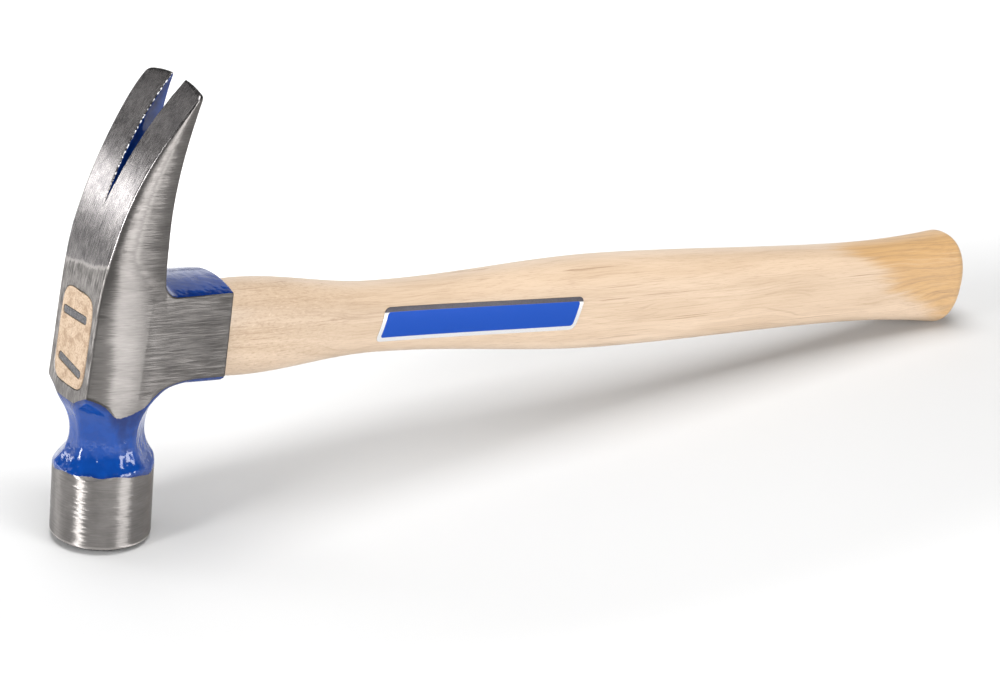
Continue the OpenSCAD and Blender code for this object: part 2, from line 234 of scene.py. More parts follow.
class Graph:
    """Node tree that is written as Python expressions."""

    def __init__(self, tree: bpy.types.NodeTree) -> None:
        """Start from an empty tree."""
        self.tree = tree
        tree.nodes.clear()

    def node(
        self, kind: str, settings: Optional[dict[str, Any]] = None, inputs: Optional[dict[Any, Link]] = None
    ) -> bpy.types.Node:
        """Add a node.

        Args:
            kind: The node's type.
            settings: Its properties, which are set first.
            inputs: Values or links of its sockets, by identifier, name or number.

        Returns:
            The new node.
        """
        made = self.tree.nodes.new(kind)
        for key, value in (settings or {}).items():
            setattr(made, key, value)
        for key, value in (inputs or {}).items():
            socket = self.find(made.inputs, key)
            if isinstance(value, Value):
                self.tree.links.new(value.socket, socket)
            else:
                socket.default_value = value
        return made

    @staticmethod
    def find(sockets: Any, key: Union[str, int]) -> bpy.types.NodeSocket:
        """Find one of a node's sockets.

        Args:
            sockets: The node's inputs or outputs.
            key: Number, identifier or name of the socket.

        Returns:
            The socket.
        """
        if isinstance(key, int):
            return sockets[key]
        return next((s for s in sockets if s.identifier == key), None) or sockets[key]

    def value(self, kind: str, settings: dict[str, Any], inputs: dict[Any, Link], output: str) -> Value:
        """Add a node and wrap one of its outputs.

        Args:
            kind: The node's type.
            settings: Its properties.
            inputs: Values or links of its sockets.
            output: Identifier or name of the output.

        Returns:
            The wrapped output.
        """
        made = self.node(kind, settings, inputs)
        return Value(self, self.find(made.outputs, output))

    def math(self, operation: str, *operands: Number) -> Value:
        """Add a Math node on values or numbers."""
        return self.value("ShaderNodeMath", {"operation": operation}, dict(enumerate(operands)), "Value")

    def vector(self, x: Number, y: Number, z: Number) -> Value:
        """Vector from three values."""
        return self.value("ShaderNodeCombineXYZ", {}, {"X": x, "Y": y, "Z": z}, "Vector")

    def split(self, vector: Value) -> tuple[Value, Value, Value]:
        """Three values of a vector."""
        made = self.node("ShaderNodeSeparateXYZ", {}, {"Vector": vector})
        return tuple(Value(self, made.outputs[axis]) for axis in "XYZ")

    def color(self, factor: Number, a: Link, b: Link, blend: str = "MIX") -> Value:
        """Blend of two colours.

        Args:
            factor: Share of the second colour.
            a: First colour.
            b: Second colour.
            blend: The Mix node's blend type.

        Returns:
            The blended colour.
        """
        settings = {"data_type": "RGBA", "blend_type": blend}
        ends = [v if isinstance(v, Value) else (*v, 1.0) for v in (a, b)]
        inputs = {"Factor_Float": factor, "A_Color": ends[0], "B_Color": ends[1]}
        return self.value("ShaderNodeMix", settings, inputs, "Result_Color")

    def noise(self, vector: Value, detail: float = 2.0, rough: float = 0.5, scale: float = 1.0) -> Value:
        """Soft noise between 0 and 1.

        Args:
            vector: Place in the pattern.
            detail: Number of finer octaves.
            rough: Weight of the finer octaves.
            scale: Waves per unit.

        Returns:
            The noise.
        """
        inputs = {"Vector": vector, "Scale": scale, "Detail": detail, "Roughness": rough}
        return self.value("ShaderNodeTexNoise", {}, inputs, "Fac")


@dataclass(frozen=True)
class Finish:
    """Finish of a surface: a name and the nodes that paint it.

    Attributes:
        name: Name of the material.
    """

    name: str

    def material(self) -> bpy.types.Material:
        """Make the material.

        Returns:
            The new material.
        """
        made = bpy.data.materials.new(self.name)
        made.use_nodes = True
        graph = Graph(made.node_tree)
        surface = self.surface(graph)
        graph.node("ShaderNodeOutputMaterial", {}, {"Surface": surface})
        return made

    def surface(self, graph: Graph) -> Value:
        """Add the nodes of the surface and return its shader."""
        raise NotImplementedError

    @staticmethod
    def own_millimetres(graph: Graph) -> Value:
        """Place in the hammer's own frame, in millimetres."""
        place = graph.value("ShaderNodeTexCoord", {}, {}, "Object")
        return graph.value("ShaderNodeMapping", {}, {"Vector": place, **POSE.mapping()}, "Vector")

    @staticmethod
    def attribute(graph: Graph, name: str) -> Value:
        """Value that a mesh stores at its points."""
        return graph.value("ShaderNodeAttribute", {"attribute_name": name}, {}, "Fac")

    @staticmethod
    def principled(graph: Graph, **sockets: Link) -> Value:
        """Principled shader, with the sockets' names in lower case and joined by underscores."""
        inputs = {name.replace("_", " ").title().replace("Ior", "IOR"): v for name, v in sockets.items()}
        return graph.value("ShaderNodeBsdfPrincipled", {}, inputs, "BSDF")

    @staticmethod
    def bump(graph: Graph, height: Value, depth_mm: float, normal: Optional[Value] = None) -> Value:
        """Normal that follows a height pattern.

        Args:
            graph: The tree.
            height: Height between 0 and 1.
            depth_mm: Height difference that 1 stands for.
            normal: Normal to start from, if not the surface's own.

        Returns:
            The bumped normal.
        """
        inputs = {"Height": height, "Strength": 1.0, "Distance": depth_mm * MM}
        if normal is not None:
            inputs["Normal"] = normal
        return graph.value("ShaderNodeBump", {}, inputs, "Normal")


class Grind(Enum):
    """Direction of the strokes on bare steel: waves per millimetre along X, Y and Z of its own frame."""

    ALONG_HANDLE = (0.13, 0.8, 4.6)
    UP_THE_FACE = (0.8, 4.2, 0.16)
    ROUND_THE_POLL = (0.14, 0.14, 5.4)

    def strokes(self, graph: Graph, x: Value, y: Value, z: Value) -> Value:
        """Stretched noise that runs in this direction.

        Args:
            graph: The tree.
            x: Place along X in millimetres.
            y: Place along Y.
            z: Place along Z.

        Returns:
            The noise between 0 and 1.
        """
        rates = self.value
        place = graph.vector(x * rates[0], y * rates[1], z * rates[2])
        return graph.noise(place, detail=2.0, rough=0.6)


@dataclass(frozen=True)
class HeadFinish(Finish):
    """Ground, polished and turned steel with glossy enamel on the forged stretches.

    Attributes:
        dark: Colour of the steel at the bottom of a stroke.
        light: Colour of the steel on top of a stroke.
        bright: Colour of the painted highlight along the crown of the cheeks and on the poll's chamfer.
        outer_edge_shade: Colour of the painted shade along the outer edge of the cheeks and the claws'
            sides.
        dark_reflection_tint: Dark tint of the polished claws, a painted reflection of the dark room that
            they mirror.
        pit: Colour of the pits in the polished claws.
        glint_colour: Colour of the painted glints along the enamel's edge on the claws.
        poll_dark: Colour of the turned poll at the bottom of a stroke.
        poll_light: Colour of the turned poll on top of a stroke.
        comb: Turn of single strokes to the side, as a slope.
        rim: Depth along the poll at which the painted highlight on its chamfer starts.
        enamel: Colour of the enamel.
        pooled_and_shaded: Darker enamel for painted shade below its edges, on top of the head and low on
            the flare, and for random thick patches.
        polish_z: Height at which the ground end face turns into the polished claws.
        polish_slope: Fall of that line across the head.
        poll_x: Place of the poll's axis along the handle.
        poll_cant: Cant of the poll's axis in degrees.
        shoulder: Distance from the handle's axis to the poll's shoulder.
    """

    dark: Color = (0.1, 0.094, 0.09)
    light: Color = (0.24, 0.226, 0.216)
    bright: Color = (0.5, 0.47, 0.45)
    outer_edge_shade: Color = (0.05, 0.047, 0.044)
    dark_reflection_tint: Color = (0.02, 0.02, 0.04)
    pit: Color = (0.045, 0.043, 0.045)
    glint_colour: Color = (0.85, 0.85, 0.85)
    poll_dark: Color = (0.195, 0.184, 0.177)
    poll_light: Color = (0.345, 0.326, 0.313)
    comb: float = 0.34
    rim: float = 70.6
    enamel: Color = (0.0025, 0.045, 0.24)
    pooled_and_shaded: Color = (0.0013, 0.017, 0.11)
    polish_z: float = 26.7
    polish_slope: float = 0.19
    poll_x: float = 14.0
    poll_cant: float = 6.0
    shoulder: float = 45.0

    def surface(self, graph: Graph) -> Value:
        """Steel under enamel, parted by the head's own paint attribute.

        Args:
            graph: The tree.

        Returns:
            The shader.
        """
        place = self.own_millimetres(graph)
        paint = self.attribute(graph, "paint")
        ragged = graph.noise(place, detail=3.0, rough=0.6, scale=0.8) - 0.5
        covered = (paint + ragged * 0.3).rise(0.18, 0.3)
        x, y, z = graph.split(place)
        cant = math.radians(self.poll_cant)
        along = (x - self.poll_x) * math.cos(cant) + z * math.sin(cant)
        depth = (x - self.poll_x) * math.sin(cant) - z * math.cos(cant)
        turned = depth.rise(self.shoulder - 1.5, self.shoulder - 1.0)
        face = self.attribute(graph, "front").rise(-0.62, -0.3) * (1.0 - turned)
        sides = self.brushed(graph, (x, y, z), (along, depth), turned)
        fronts = self.faced(graph, place, (x, y, z), paint)
        bare = graph.value("ShaderNodeMixShader", {}, {0: face, 1: sides, 2: fronts}, "Shader")
        enamel = self.paint(graph, place, paint)
        return graph.value("ShaderNodeMixShader", {}, {0: covered, 1: bare, 2: enamel}, "Shader")

    def brushed(
        self, graph: Graph, place: tuple[Value, Value, Value], poll: tuple[Value, Value], turned: Value
    ) -> Value:
        """Steel brushed along the handle on the cheeks and turned on the poll.

        Args:
            graph: The tree.
            place: Place in millimetres as three values.
            poll: Place across the poll and depth along it.
            turned: Share of the turned poll.

        Returns:
            The shader.
        """
        x, y, z = place
        side = Grind.ALONG_HANDLE.strokes(graph, x, y, z)
        ring = Grind.ROUND_THE_POLL.strokes(graph, poll[0], y, poll[1])
        strokes = side + (ring - side) * turned
        cloud = graph.noise(graph.vector(x * 0.09, y * 0.2, z * 0.2), detail=3.0, rough=0.55)
        tone = strokes.rise(0.22, 0.78) * 0.6 + cloud.rise(0.25, 0.75) * 0.4
        rate = turned * 0.7 + 2.4
        rows = graph.noise(graph.vector(poll[0] * 0.1, y * 0.1, z * rate), detail=3.0, rough=0.7) - 0.5
        share = self.attribute(graph, "edge") + rows * 0.14 + z.rise(-12.0, 16.0) * 0.05
        # Painted shade: the steel is darkened along the outer edge of the cheeks and the claws' sides.
        edge = share.rise(0.19, 0.08) * (1.0 - turned)
        # Painted highlight: a lighter band along the crown of the cheeks and the claws' sides.
        crest_highlight = share.rise(0.14, 0.2) * share.rise(0.56, 0.42) * (1.0 - turned)
        shade = graph.color((tone - edge * 0.65).most(0.0), self.dark, self.light)
        shade = graph.color(edge * 0.35, shade, self.outer_edge_shade)
        shade = graph.color(turned, shade, graph.color(tone, self.poll_dark, self.poll_light))
        shade = graph.color(crest_highlight * 0.17, shade, self.bright)
        # Painted shade: a ragged darker zone where the painted highlight band ends.
        highlight_edge_shade = (share + rows * 0.35).rise(0.3, 0.4) * share.rise(0.47, 0.39) * (1.0 - turned)
        shade = graph.color(highlight_edge_shade * 0.5, shade, self.dark)
        # Painted highlight: the poll's chamfer is lightened.
        rim = poll[1].rise(self.rim, self.rim + 0.4) * turned
        shade = graph.color(rim, shade, self.bright)
        tilt = rows * (turned * 0.35 + 1.0) * self.comb
        return self.principled(
            graph,
            base_color=shade,
            metallic=1.0,
            roughness=0.39 + (strokes - 0.5) * 0.2,
            anisotropic=1.0,
            anisotropic_rotation=0.25,
            normal=self.bump(graph, strokes, 0.012, self.combed(graph, tilt)),
        )

    @staticmethod
    def combed(graph: Graph, tilt: Value) -> Value:
        """Normal turned a little to the left or right, so that each stroke catches the light elsewhere.

        Args:
            graph: The tree.
            tilt: Turn to the side, as a slope.

        Returns:
            The turned normal.
        """
        own = graph.value("ShaderNodeNewGeometry", {}, {}, "Normal")
        cross, scale = {"operation": "CROSS_PRODUCT"}, {"operation": "SCALE"}
        aside = graph.value("ShaderNodeVectorMath", cross, {0: own, 1: (0.0, 0.0, 1.0)}, "Vector")
        shift = graph.value("ShaderNodeVectorMath", scale, {0: aside, "Scale": tilt}, "Vector")
        moved = graph.value("ShaderNodeVectorMath", {"operation": "ADD"}, {0: own, 1: shift}, "Vector")
        return graph.value("ShaderNodeVectorMath", {"operation": "NORMALIZE"}, {0: moved}, "Vector")

    def faced(self, graph: Graph, place: Value, axes: tuple[Value, Value, Value], paint: Value) -> Value:
        """Steel of the ground end face and, above a ragged line, of the polished claws.

        Args:
            graph: The tree.
            place: Place in millimetres.
            axes: The same as three values.
            paint: Distance from the enamel's edge in millimetres, positive under it.

        Returns:
            The shader.
        """
        x, y, z = axes
        strokes = Grind.UP_THE_FACE.strokes(graph, x, y, z)
        worn = graph.noise(place, detail=3.0, rough=0.55, scale=0.18)
        fringe = graph.noise(graph.vector(x * 0.2, y * 1.8, z * 0.12), detail=2.0) - 0.5
        line = z + y * self.polish_slope - self.polish_z + (worn - 0.5) * 3.0 + fringe * 3.0
        polished = line.rise(-0.4, 0.5)
        lip = abs(line + 0.4).rise(1.1, 0.2)
        grit = graph.noise(place, detail=3.0, rough=0.7, scale=2.2)
        tone = strokes.rise(0.3, 0.7) * 0.85 + worn.rise(0.3, 0.7) * 0.4
        # Painted dark reflection: the ground end face below the line is darkened.
        tone = tone - (1.0 - polished) * 0.25 + lip * 0.6
        shade = graph.color((tone + (grit - 0.5) * 0.7).most(0.0), self.dark, self.poll_light)
        # Painted dark reflection: the polished claws are tinted dark for the dark room that they mirror.
        shade = graph.color(polished * 0.3, shade, self.dark_reflection_tint)
        pits = grit.rise(0.58, 0.7) * polished
        shade = graph.color(pits * 0.55, shade, self.pit)
        # Painted glints: pale, non-metallic dots along the enamel's edge on the claws, above the slot's
        # closed end.
        dots = graph.noise(place, detail=1.0, scale=1.3).rise(0.5, 0.6)
        painted_glint = abs(paint).rise(0.45, 0.2) * z.rise(50.0, 56.0)
        shade = graph.color(painted_glint * dots, shade, self.glint_colour)
        rough = 0.48 - polished * 0.23 + (strokes - 0.5) * 0.2 + (grit - 0.5) * 0.24
        height = strokes * (1.0 - polished * 0.5) + grit * 0.8
        return self.principled(
            graph,
            base_color=shade,
            metallic=1.0 - painted_glint * dots,
            roughness=rough,
            normal=self.bump(graph, height, 0.022),
        )

    def paint(self, graph: Graph, place: Value, paint: Value) -> Value:
        """Thick glossy enamel with orange peel, and painted shade below its edges, on top of the head and
        low on the flare.

        Args:
            graph: The tree.
            place: Place in millimetres.
            paint: Distance from the enamel's edge in millimetres.

        Returns:
            The shader.
        """
        _, _, z = graph.split(place)
        peel = graph.noise(place, detail=1.5, rough=0.45, scale=0.33)
        fine = graph.noise(place, detail=2.0, rough=0.5, scale=1.4)
        lumps = graph.noise(place, detail=1.0, rough=0.5, scale=0.85)
        neck = z.rise(-28.0, -36.0)
        # Painted shade darkens the enamel in a band below the bare steel and along every edge of the
        # enamel.
        shade_below_edge = (paint + peel * 3.0).rise(4.2, 2.6) * (1.0 - neck) * 0.42
        thick = shade_below_edge + (paint + peel * 1.6).rise(2.4, 0.9) * 0.5 + peel.rise(0.62, 0.4) * 0.15
        # Painted shade on the top of the head, in the nail slot and low on the flare.
        thick = thick + z.rise(-8.0, 8.0) * 0.6 + z.rise(-36.0, -42.0) * 0.2
        shade = graph.color(thick.least(1.0), self.enamel, self.pooled_and_shaded)
        return self.principled(
            graph,
            base_color=shade,
            roughness=0.09 + fine * 0.06,
            ior=1.5,
            normal=self.bump(graph, peel * (neck * 0.9 + 0.8) + lumps * neck * 0.2 + fine * 0.03, 0.24),
        )


@dataclass(frozen=True)
class MilledFinish(Finish):
    """Bright milled steel of the striking face.

    Attributes:
        dark: Colour in the grooves, a painted shade.
        light: Colour of the teeth.
    """

    dark: Color = (0.09, 0.09, 0.092)
    light: Color = (0.36, 0.355, 0.35)

    def surface(self, graph: Graph) -> Value:
        """Milled steel, with painted shade in its grooves.

        Args:
            graph: The tree.

        Returns:
            The shader.
        """
        place = self.own_millimetres(graph)
        tooth = self.attribute(graph, "tooth")
        marks = graph.noise(place, detail=3.0, rough=0.6, scale=3.0)
        # Painted shade: darker towards the bottom of the grooves.
        shade = graph.color((tooth * 0.8 + marks * 0.4 - 0.1).rise(0.0, 1.0), self.dark, self.light)
        rough = 0.42 - tooth * 0.08 + (marks - 0.5) * 0.14
        return self.principled(
            graph, base_color=shade, metallic=1.0, roughness=rough, normal=self.bump(graph, marks, 0.03)
        )


@dataclass(frozen=True)
class Hickory(Finish):
    """Pale sanded hickory with fine fibres, short pores and a brown heart at the butt.

    Attributes:
        pale: Colour of the pale sapwood.
        warm: Colour of its warmer bands.
        brown: Colour of fibres and pores.
        heart: Colour of the heartwood at the butt.
        heart_x: Place along the handle where the heartwood starts at heart_z.
        heart_z: Height of that place.
        heart_slope: Fall of the heartwood's lower border per millimetre along the handle.
        heart_fade: Width of that border.
        fleck: Colour of the pale flecks.
        end_share: Brightness of the cut ends of the fibres.
        head_share: Brightness of the wood beside the head.
        butt_share: Brightness of the wood towards the butt.
        share_start: Place along the handle where the brightness begins to change.
        share_end: Place where it has changed.
        grain_slope: Rise of the fibres along the handle.
        veins: Number of thin growth lines over the range of the rings' pattern.
        underside: Tint that lightens the lower side, painted light where less light falls.
        fleck_start: Place along the handle up to which short flecks are plain to see.
        fleck_end: Place where the flecks are gone.
        end_depth: Depth to which the end face shows the ends of the fibres.
        lacquer: Coat weight of the satin lacquer.
    """

    pale: Color = (0.535, 0.408, 0.294)
    warm: Color = (0.435, 0.318, 0.214)
    brown: Color = (0.215, 0.123, 0.063)
    heart: Color = (0.475, 0.28, 0.107)
    fleck: Color = (0.64, 0.5, 0.37)
    end_share: float = 0.9
    head_share: float = 0.91
    butt_share: float = 1.06
    share_start: float = 40.0
    share_end: float = 330.0
    grain_slope: float = 0.022
    veins: float = 7.0
    underside: Color = (1.34, 1.37, 1.42)
    fleck_start: float = 70.0
    fleck_end: float = 125.0
    heart_x: float = 344.6
    heart_z: float = 16.0
    heart_slope: float = 0.571
    heart_fade: float = 5.0
    end_depth: float = 0.25
    lacquer: float = 0.22

    def surface(self, graph: Graph) -> Value:
        """Wood along the grain, with end grain on the tenon's end.

        Args:
            graph: The tree.

        Returns:
            The shader.
        """
        place = self.own_millimetres(graph)
        x, y, z = graph.split(place)
        drift = graph.noise(graph.vector(x * 0.012, y * 0.05, z * 0.05), detail=2.0) - 0.5
        across = z * 0.8 + y * 0.55 + x * 0.012 + drift * 16.0
        ring = graph.noise(graph.vector(x * 0.004, across * 0.22, 0.0), detail=3.0, rough=0.6)
        slope = z - x * self.grain_slope
        fibre = graph.noise(graph.vector(x * 0.04, y * 3.4, slope * 3.4), detail=3.0, rough=0.68)
        pores = graph.noise(graph.vector(x * 0.2, y * 5.5, slope * 5.5), detail=1.0, rough=0.5)
        cloud = graph.noise(graph.vector(x * 0.022, y * 0.09, z * 0.09), detail=3.0)
        tone = graph.color(ring.rise(0.36, 0.66) * 0.55 + cloud.rise(0.3, 0.7) * 0.4, self.pale, self.warm)
        veins = abs(graph.math("FRACT", ring * self.veins + fibre * 0.2) - 0.5).rise(0.12, 0.0)
        tone = graph.color(veins * cloud.rise(0.38, 0.62) * 0.26, tone, self.brown)
        tone = graph.color(fibre.rise(0.46, 0.78) * 0.42, tone, self.brown)
        tone = graph.color(pores.rise(0.62, 0.78) * 0.34, tone, self.brown)
        flecks = graph.noise(graph.vector(x * 0.55, y * 1.6, slope * 1.6), detail=2.0, rough=0.6)
        near = x.rise(self.fleck_end, self.fleck_start)
        tone = graph.color(flecks.rise(0.5, 0.7) * near * 0.3, tone, self.brown)
        tone = graph.color(flecks.rise(0.42, 0.26) * near * 0.45, tone, self.fleck)
        streak = graph.noise(graph.vector(x * 0.014, y * 0.5, slope * 0.8), detail=2.0, rough=0.55)
        tone = graph.color(streak.rise(0.64, 0.74) * fibre.rise(0.35, 0.6) * 0.7, tone, self.brown)
        # Darker beside the head and lighter towards the butt.
        along = x.rise(self.share_start, self.share_end)
        head_to_butt_tone = graph.color(along, (self.head_share,) * 3, (self.butt_share,) * 3)
        tone = graph.color(1.0, tone, head_to_butt_tone, "MULTIPLY")
        heart = (z - self.heart_z) + (x - self.heart_x) * self.heart_slope
        heart = (heart + (ring - 0.5) * 22.0 + (fibre - 0.5) * 7.0).rise(-self.heart_fade, self.heart_fade)
        lines = graph.noise(graph.vector(x * 0.02, across * 1.1, y * 0.3), detail=3.0, rough=0.6)
        dark = fibre.rise(0.4, 0.75) * 0.3 + lines.rise(0.45, 0.7) * 0.45
        deep = graph.color(dark, self.heart, self.brown)
        deep = graph.color(lines.rise(0.45, 0.28) * 0.4, deep, self.pale)
        tone = graph.color(heart * 0.85, tone, deep)
        # Painted light: the wood on the lower side is lightened.
        side, _, up = graph.split(graph.value("ShaderNodeTexCoord", {}, {}, "Normal"))
        tone = graph.color(up.rise(0.45, -0.55), tone, graph.color(1.0, tone, self.underside, "MULTIPLY"))
        butt = side.rise(0.35, 0.85) * x.rise(self.heart_x, self.heart_x + 40.0)
        specks = graph.noise(graph.vector(x * 1.2, y * 2.4, z * 2.4), detail=2.0, rough=0.7)
        tone = graph.color(butt * specks.rise(0.5, 0.62) * 0.6, tone, self.pale)
        tone = graph.color(butt * specks.rise(0.45, 0.33) * 0.6, tone, self.brown)
        end = x.rise(self.end_depth * 2, self.end_depth)
        cut = graph.color(1.0, self.end_grain(graph, x, y, z), (self.end_share,) * 3, "MULTIPLY")
        tone = graph.color(end, tone, cut)
        height = fibre * 0.6 + pores * 0.4
        return self.principled(
            graph,
            base_color=tone,
            roughness=0.46 + (fibre - 0.5) * 0.2 + end * 0.25,
            coat_weight=(1.0 - end) * self.lacquer,
            coat_roughness=0.28,
            normal=self.bump(graph, height, 0.03),
        )

    def end_grain(self, graph: Graph, x: Value, y: Value, z: Value) -> Value:
        """Colour of the cut ends of the fibres: dotted pores between faint rings.

        Args:
            graph: The tree.
            x: Place along the handle in millimetres.
            y: Place across it.
            z: Height.

        Returns:
            The colour.
        """
        flat = graph.vector(y, z, x * 0.1)
        dots = graph.noise(flat, detail=2.0, rough=0.7, scale=1.5)
        wave = graph.noise(graph.vector(y * 0.25, z * 0.06, 0.0), detail=3.0, rough=0.6)
        tone = graph.color(wave.rise(0.35, 0.7) * 0.6, self.pale, self.warm)
        blots = graph.noise(flat, detail=3.0, rough=0.6, scale=0.3)
        tone = graph.color(blots.rise(0.47, 0.62) * 0.5, tone, self.brown)
        return graph.color(dots.rise(0.44, 0.72) * 0.6, tone, self.brown)


@dataclass(frozen=True)
class RolledSteel(Finish):
    """Dark rough rolled steel of the wedges.

    Attributes:
        dark: Colour in the pits.
        light: Colour of the dressed spots.
    """

    dark: Color = (0.06, 0.06, 0.065)
    light: Color = (0.24, 0.235, 0.24)

    def surface(self, graph: Graph) -> Value:
        """Mottled dark steel.

        Args:
            graph: The tree.

        Returns:
            The shader.
        """
        place = self.own_millimetres(graph)
        mottle = graph.noise(place, detail=5.0, rough=0.7, scale=0.9)
        pits = graph.noise(place, detail=2.0, rough=0.6, scale=3.2)
        shade = graph.color((mottle * 0.7 + pits * 0.4).rise(0.35, 0.8), self.dark, self.light)
        return self.principled(
            graph,
            base_color=shade,
            metallic=0.85,
            roughness=0.62 - mottle * 0.16,
            normal=self.bump(graph, mottle + pits * 0.5, 0.09),
        )


@dataclass(frozen=True)
class LabelFoil(Finish):
    """Thin foil with a bright border round a plain blue panel.

    Attributes:
        foil: Colour of the bare foil.
        dull: Colour of the foil's duller grain.
        shaded: Colour of the foil along the label's upper edge, a painted dark reflection.
        shaded_grain: Colour of the grain there.
        blue: Colour of the panel.
        blue_grain: Colour of the panel's lighter grain.
        half_length: Half the panel's length in millimetres.
        half_height: Half the panel's height.
        corner: Radius of the panel's corners.
    """

    half_length: float = 42.4
    half_height: float = 4.7
    corner: float = 1.1
    foil: Color = (0.86, 0.865, 0.88)
    dull: Color = (0.6, 0.6, 0.62)
    shaded: Color = (0.045, 0.042, 0.05)
    shaded_grain: Color = (0.12, 0.115, 0.13)
    blue: Color = (0.002, 0.052, 0.33)
    blue_grain: Color = (0.002, 0.055, 0.36)

    def surface(self, graph: Graph) -> Value:
        """Foil and panel, parted on the label's own UV map in millimetres.

        Args:
            graph: The tree.

        Returns:
            The shader.
        """
        place = graph.value("ShaderNodeUVMap", {"uv_map": "label"}, {}, "UV")
        u, v, _ = graph.split(place)
        over_u = (abs(u) - (self.half_length - self.corner)).most(0.0)
        over_v = (abs(v) - (self.half_height - self.corner)).most(0.0)
        outside = (over_u * over_u + over_v * over_v) ** 0.5
        panel = outside.rise(self.corner + 0.12, self.corner - 0.12)
        body = self.own_millimetres(graph)
        ripple = graph.noise(body, detail=1.0, scale=0.16)
        grain = graph.noise(body, detail=3.0, rough=0.6, scale=2.4)
        # Painted dark reflection: the foil is darkened along the label's upper edge.
        top = v.rise(self.half_height - 0.5, self.half_height + 0.1)
        silver = graph.color(grain * 0.16, self.foil, self.dull)
        bare = self.principled(
            graph,
            base_color=graph.color(top, silver, graph.color(grain, self.shaded, self.shaded_grain)),
            metallic=1.0,
            roughness=0.2 + grain * 0.1 + top * 0.15,
            normal=self.bump(graph, ripple + grain * 0.01, 0.12),
        )
        ink = self.principled(
            graph,
            base_color=graph.color(grain.rise(0.3, 0.8) * 0.2, self.blue, self.blue_grain),
            roughness=0.45 + grain * 0.1,
            specular_ior_level=0.2,
            normal=self.bump(graph, ripple + grain * 0.01, 0.06),
        )
        return graph.value("ShaderNodeMixShader", {}, {0: panel, 1: bare, 2: ink}, "Shader")


@dataclass(frozen=True)
class FloorPaper(Finish):
    """Pale studio paper, painted darker round the hammer to deepen its shadow and lighter far away.

    Attributes:
        pale: Its darker colour round the hammer, a painted shadow.
        far: Its lighter colour further away, painted light where less light falls.
        tooth: Colour of its tooth.
        near_m: Distance to the side where the colour begins to change.
        far_m: Distance where it has changed.
        long_share: Share that counts of a distance along the hammer.
        shadow_shift_m: Distance in front of the middle to the darkest line of the painted shadow.
    """

    pale: Color = (0.54, 0.54, 0.54)
    far: Color = (0.96, 0.96, 0.96)
    tooth: Color = (0.6, 0.6, 0.6)
    near_m: float = 0.08
    far_m: float = 0.25
    long_share: float = 0.36
    shadow_shift_m: float = 0.05

    def surface(self, graph: Graph) -> Value:
        """Matt paper with a hardly visible tooth, painted darker round the hammer and lighter far away.

        Args:
            graph: The tree.

        Returns:
            The shader.
        """
        place = graph.value("ShaderNodeTexCoord", {}, {}, "Object")
        tooth = graph.noise(place, detail=2.0, scale=90.0)
        x, y, _ = graph.split(place)
        # Painted shadow round the hammer and painted light far away, by the distance from a line just in
        # front of it.
        aside = graph.vector(x * self.long_share, y + self.shadow_shift_m, 0.0)
        away = graph.value("ShaderNodeVectorMath", {"operation": "LENGTH"}, {0: aside}, "Value")
        shade = graph.color(away.rise(self.near_m, self.far_m), self.pale, self.far)
        shade = graph.color(tooth * 0.03, shade, self.tooth)
        return self.principled(graph, base_color=shade, roughness=0.9, specular_ior_level=0.1)


def put(name: str, data: bpy.types.ID) -> bpy.types.Object:
    """Put a mesh, a light or a camera in the scene.

    Args:
        name: Name of the object.
        data: What it shows.

    Returns:
        The object.
    """
    made = bpy.data.objects.new(name, data)
    bpy.context.scene.collection.objects.link(made)
    return made


def add_piece(
    name: str, mesh: bpy.types.Mesh, finish: Finish, node: Optional[str] = None
) -> bpy.types.Object:
    """Put a finished mesh in the scene as a piece of the hammer.

    Args:
        name: Name of the piece.
        mesh: Its mesh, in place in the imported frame.
        finish: Its finish.
        node: The CAD node that it replaces, if it does.

    Returns:
        The piece's object.
    """
    mesh.name = name
    mesh.materials.clear()
    mesh.materials.append(finish.material())
    made = put(name, mesh)
    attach(made, BODY)
    if node:
        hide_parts(node)
    log.info("%s: %d faces", name, len(mesh.polygons))
    return made


def mesh_of(shape: Mesh, sharp_degrees: float = 180.0) -> bpy.types.Mesh:
    """Blender mesh from points in the hammer's own frame.

    Args:
        shape: Points in millimetres, and faces.
        sharp_degrees: Angle between faces above which an edge stays sharp.

    Returns:
        The mesh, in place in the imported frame.
    """
    points, faces = shape
    mesh = bpy.data.meshes.new("shape")
    mesh.from_pydata(POSE.place(points).tolist(), [], faces)
    mesh.validate()
    mesh.shade_smooth()
    mesh.set_sharp_from_angle(angle=math.radians(sharp_degrees))
    return mesh


def loft(rings: Array) -> Mesh:
    """Closed skin over rings of points.

    Args:
        rings: Points as (ring, point, XYZ); seen along the rings, each ring runs anticlockwise.

    Returns:
        Points and faces.
    """
    count, size, _ = rings.shape
    faces = []
    for row in range(count - 1):
        for i in range(size):
            j = (i + 1) % size
            a, b = row * size, (row + 1) * size
            faces.append((a + j, a + i, b + i, b + j))
    faces.append(list(range(size)))
    faces.append(list(range(count * size - 1, (count - 1) * size - 1, -1)))
    return rings.reshape(-1, 3), faces


def oval(half_w: float, half_h: float, square: float, count: int) -> tuple[Array, Array]:
    """Rounded oval seen along X, clockwise with Y to the right.

    Args:
        half_w: Half its width.
        half_h: Half its height.
        square: Power of the oval; 2 is an ellipse and more is squarer.
        count: Number of points.

    Returns:
        The points' Y and Z.
    """
    angle = -2 * np.pi * np.arange(count) / count
    c, s = np.cos(angle), np.sin(angle)
    return half_w * np.sign(c) * np.abs(c) ** (2 / square), half_h * np.sign(s) * np.abs(s) ** (2 / square)


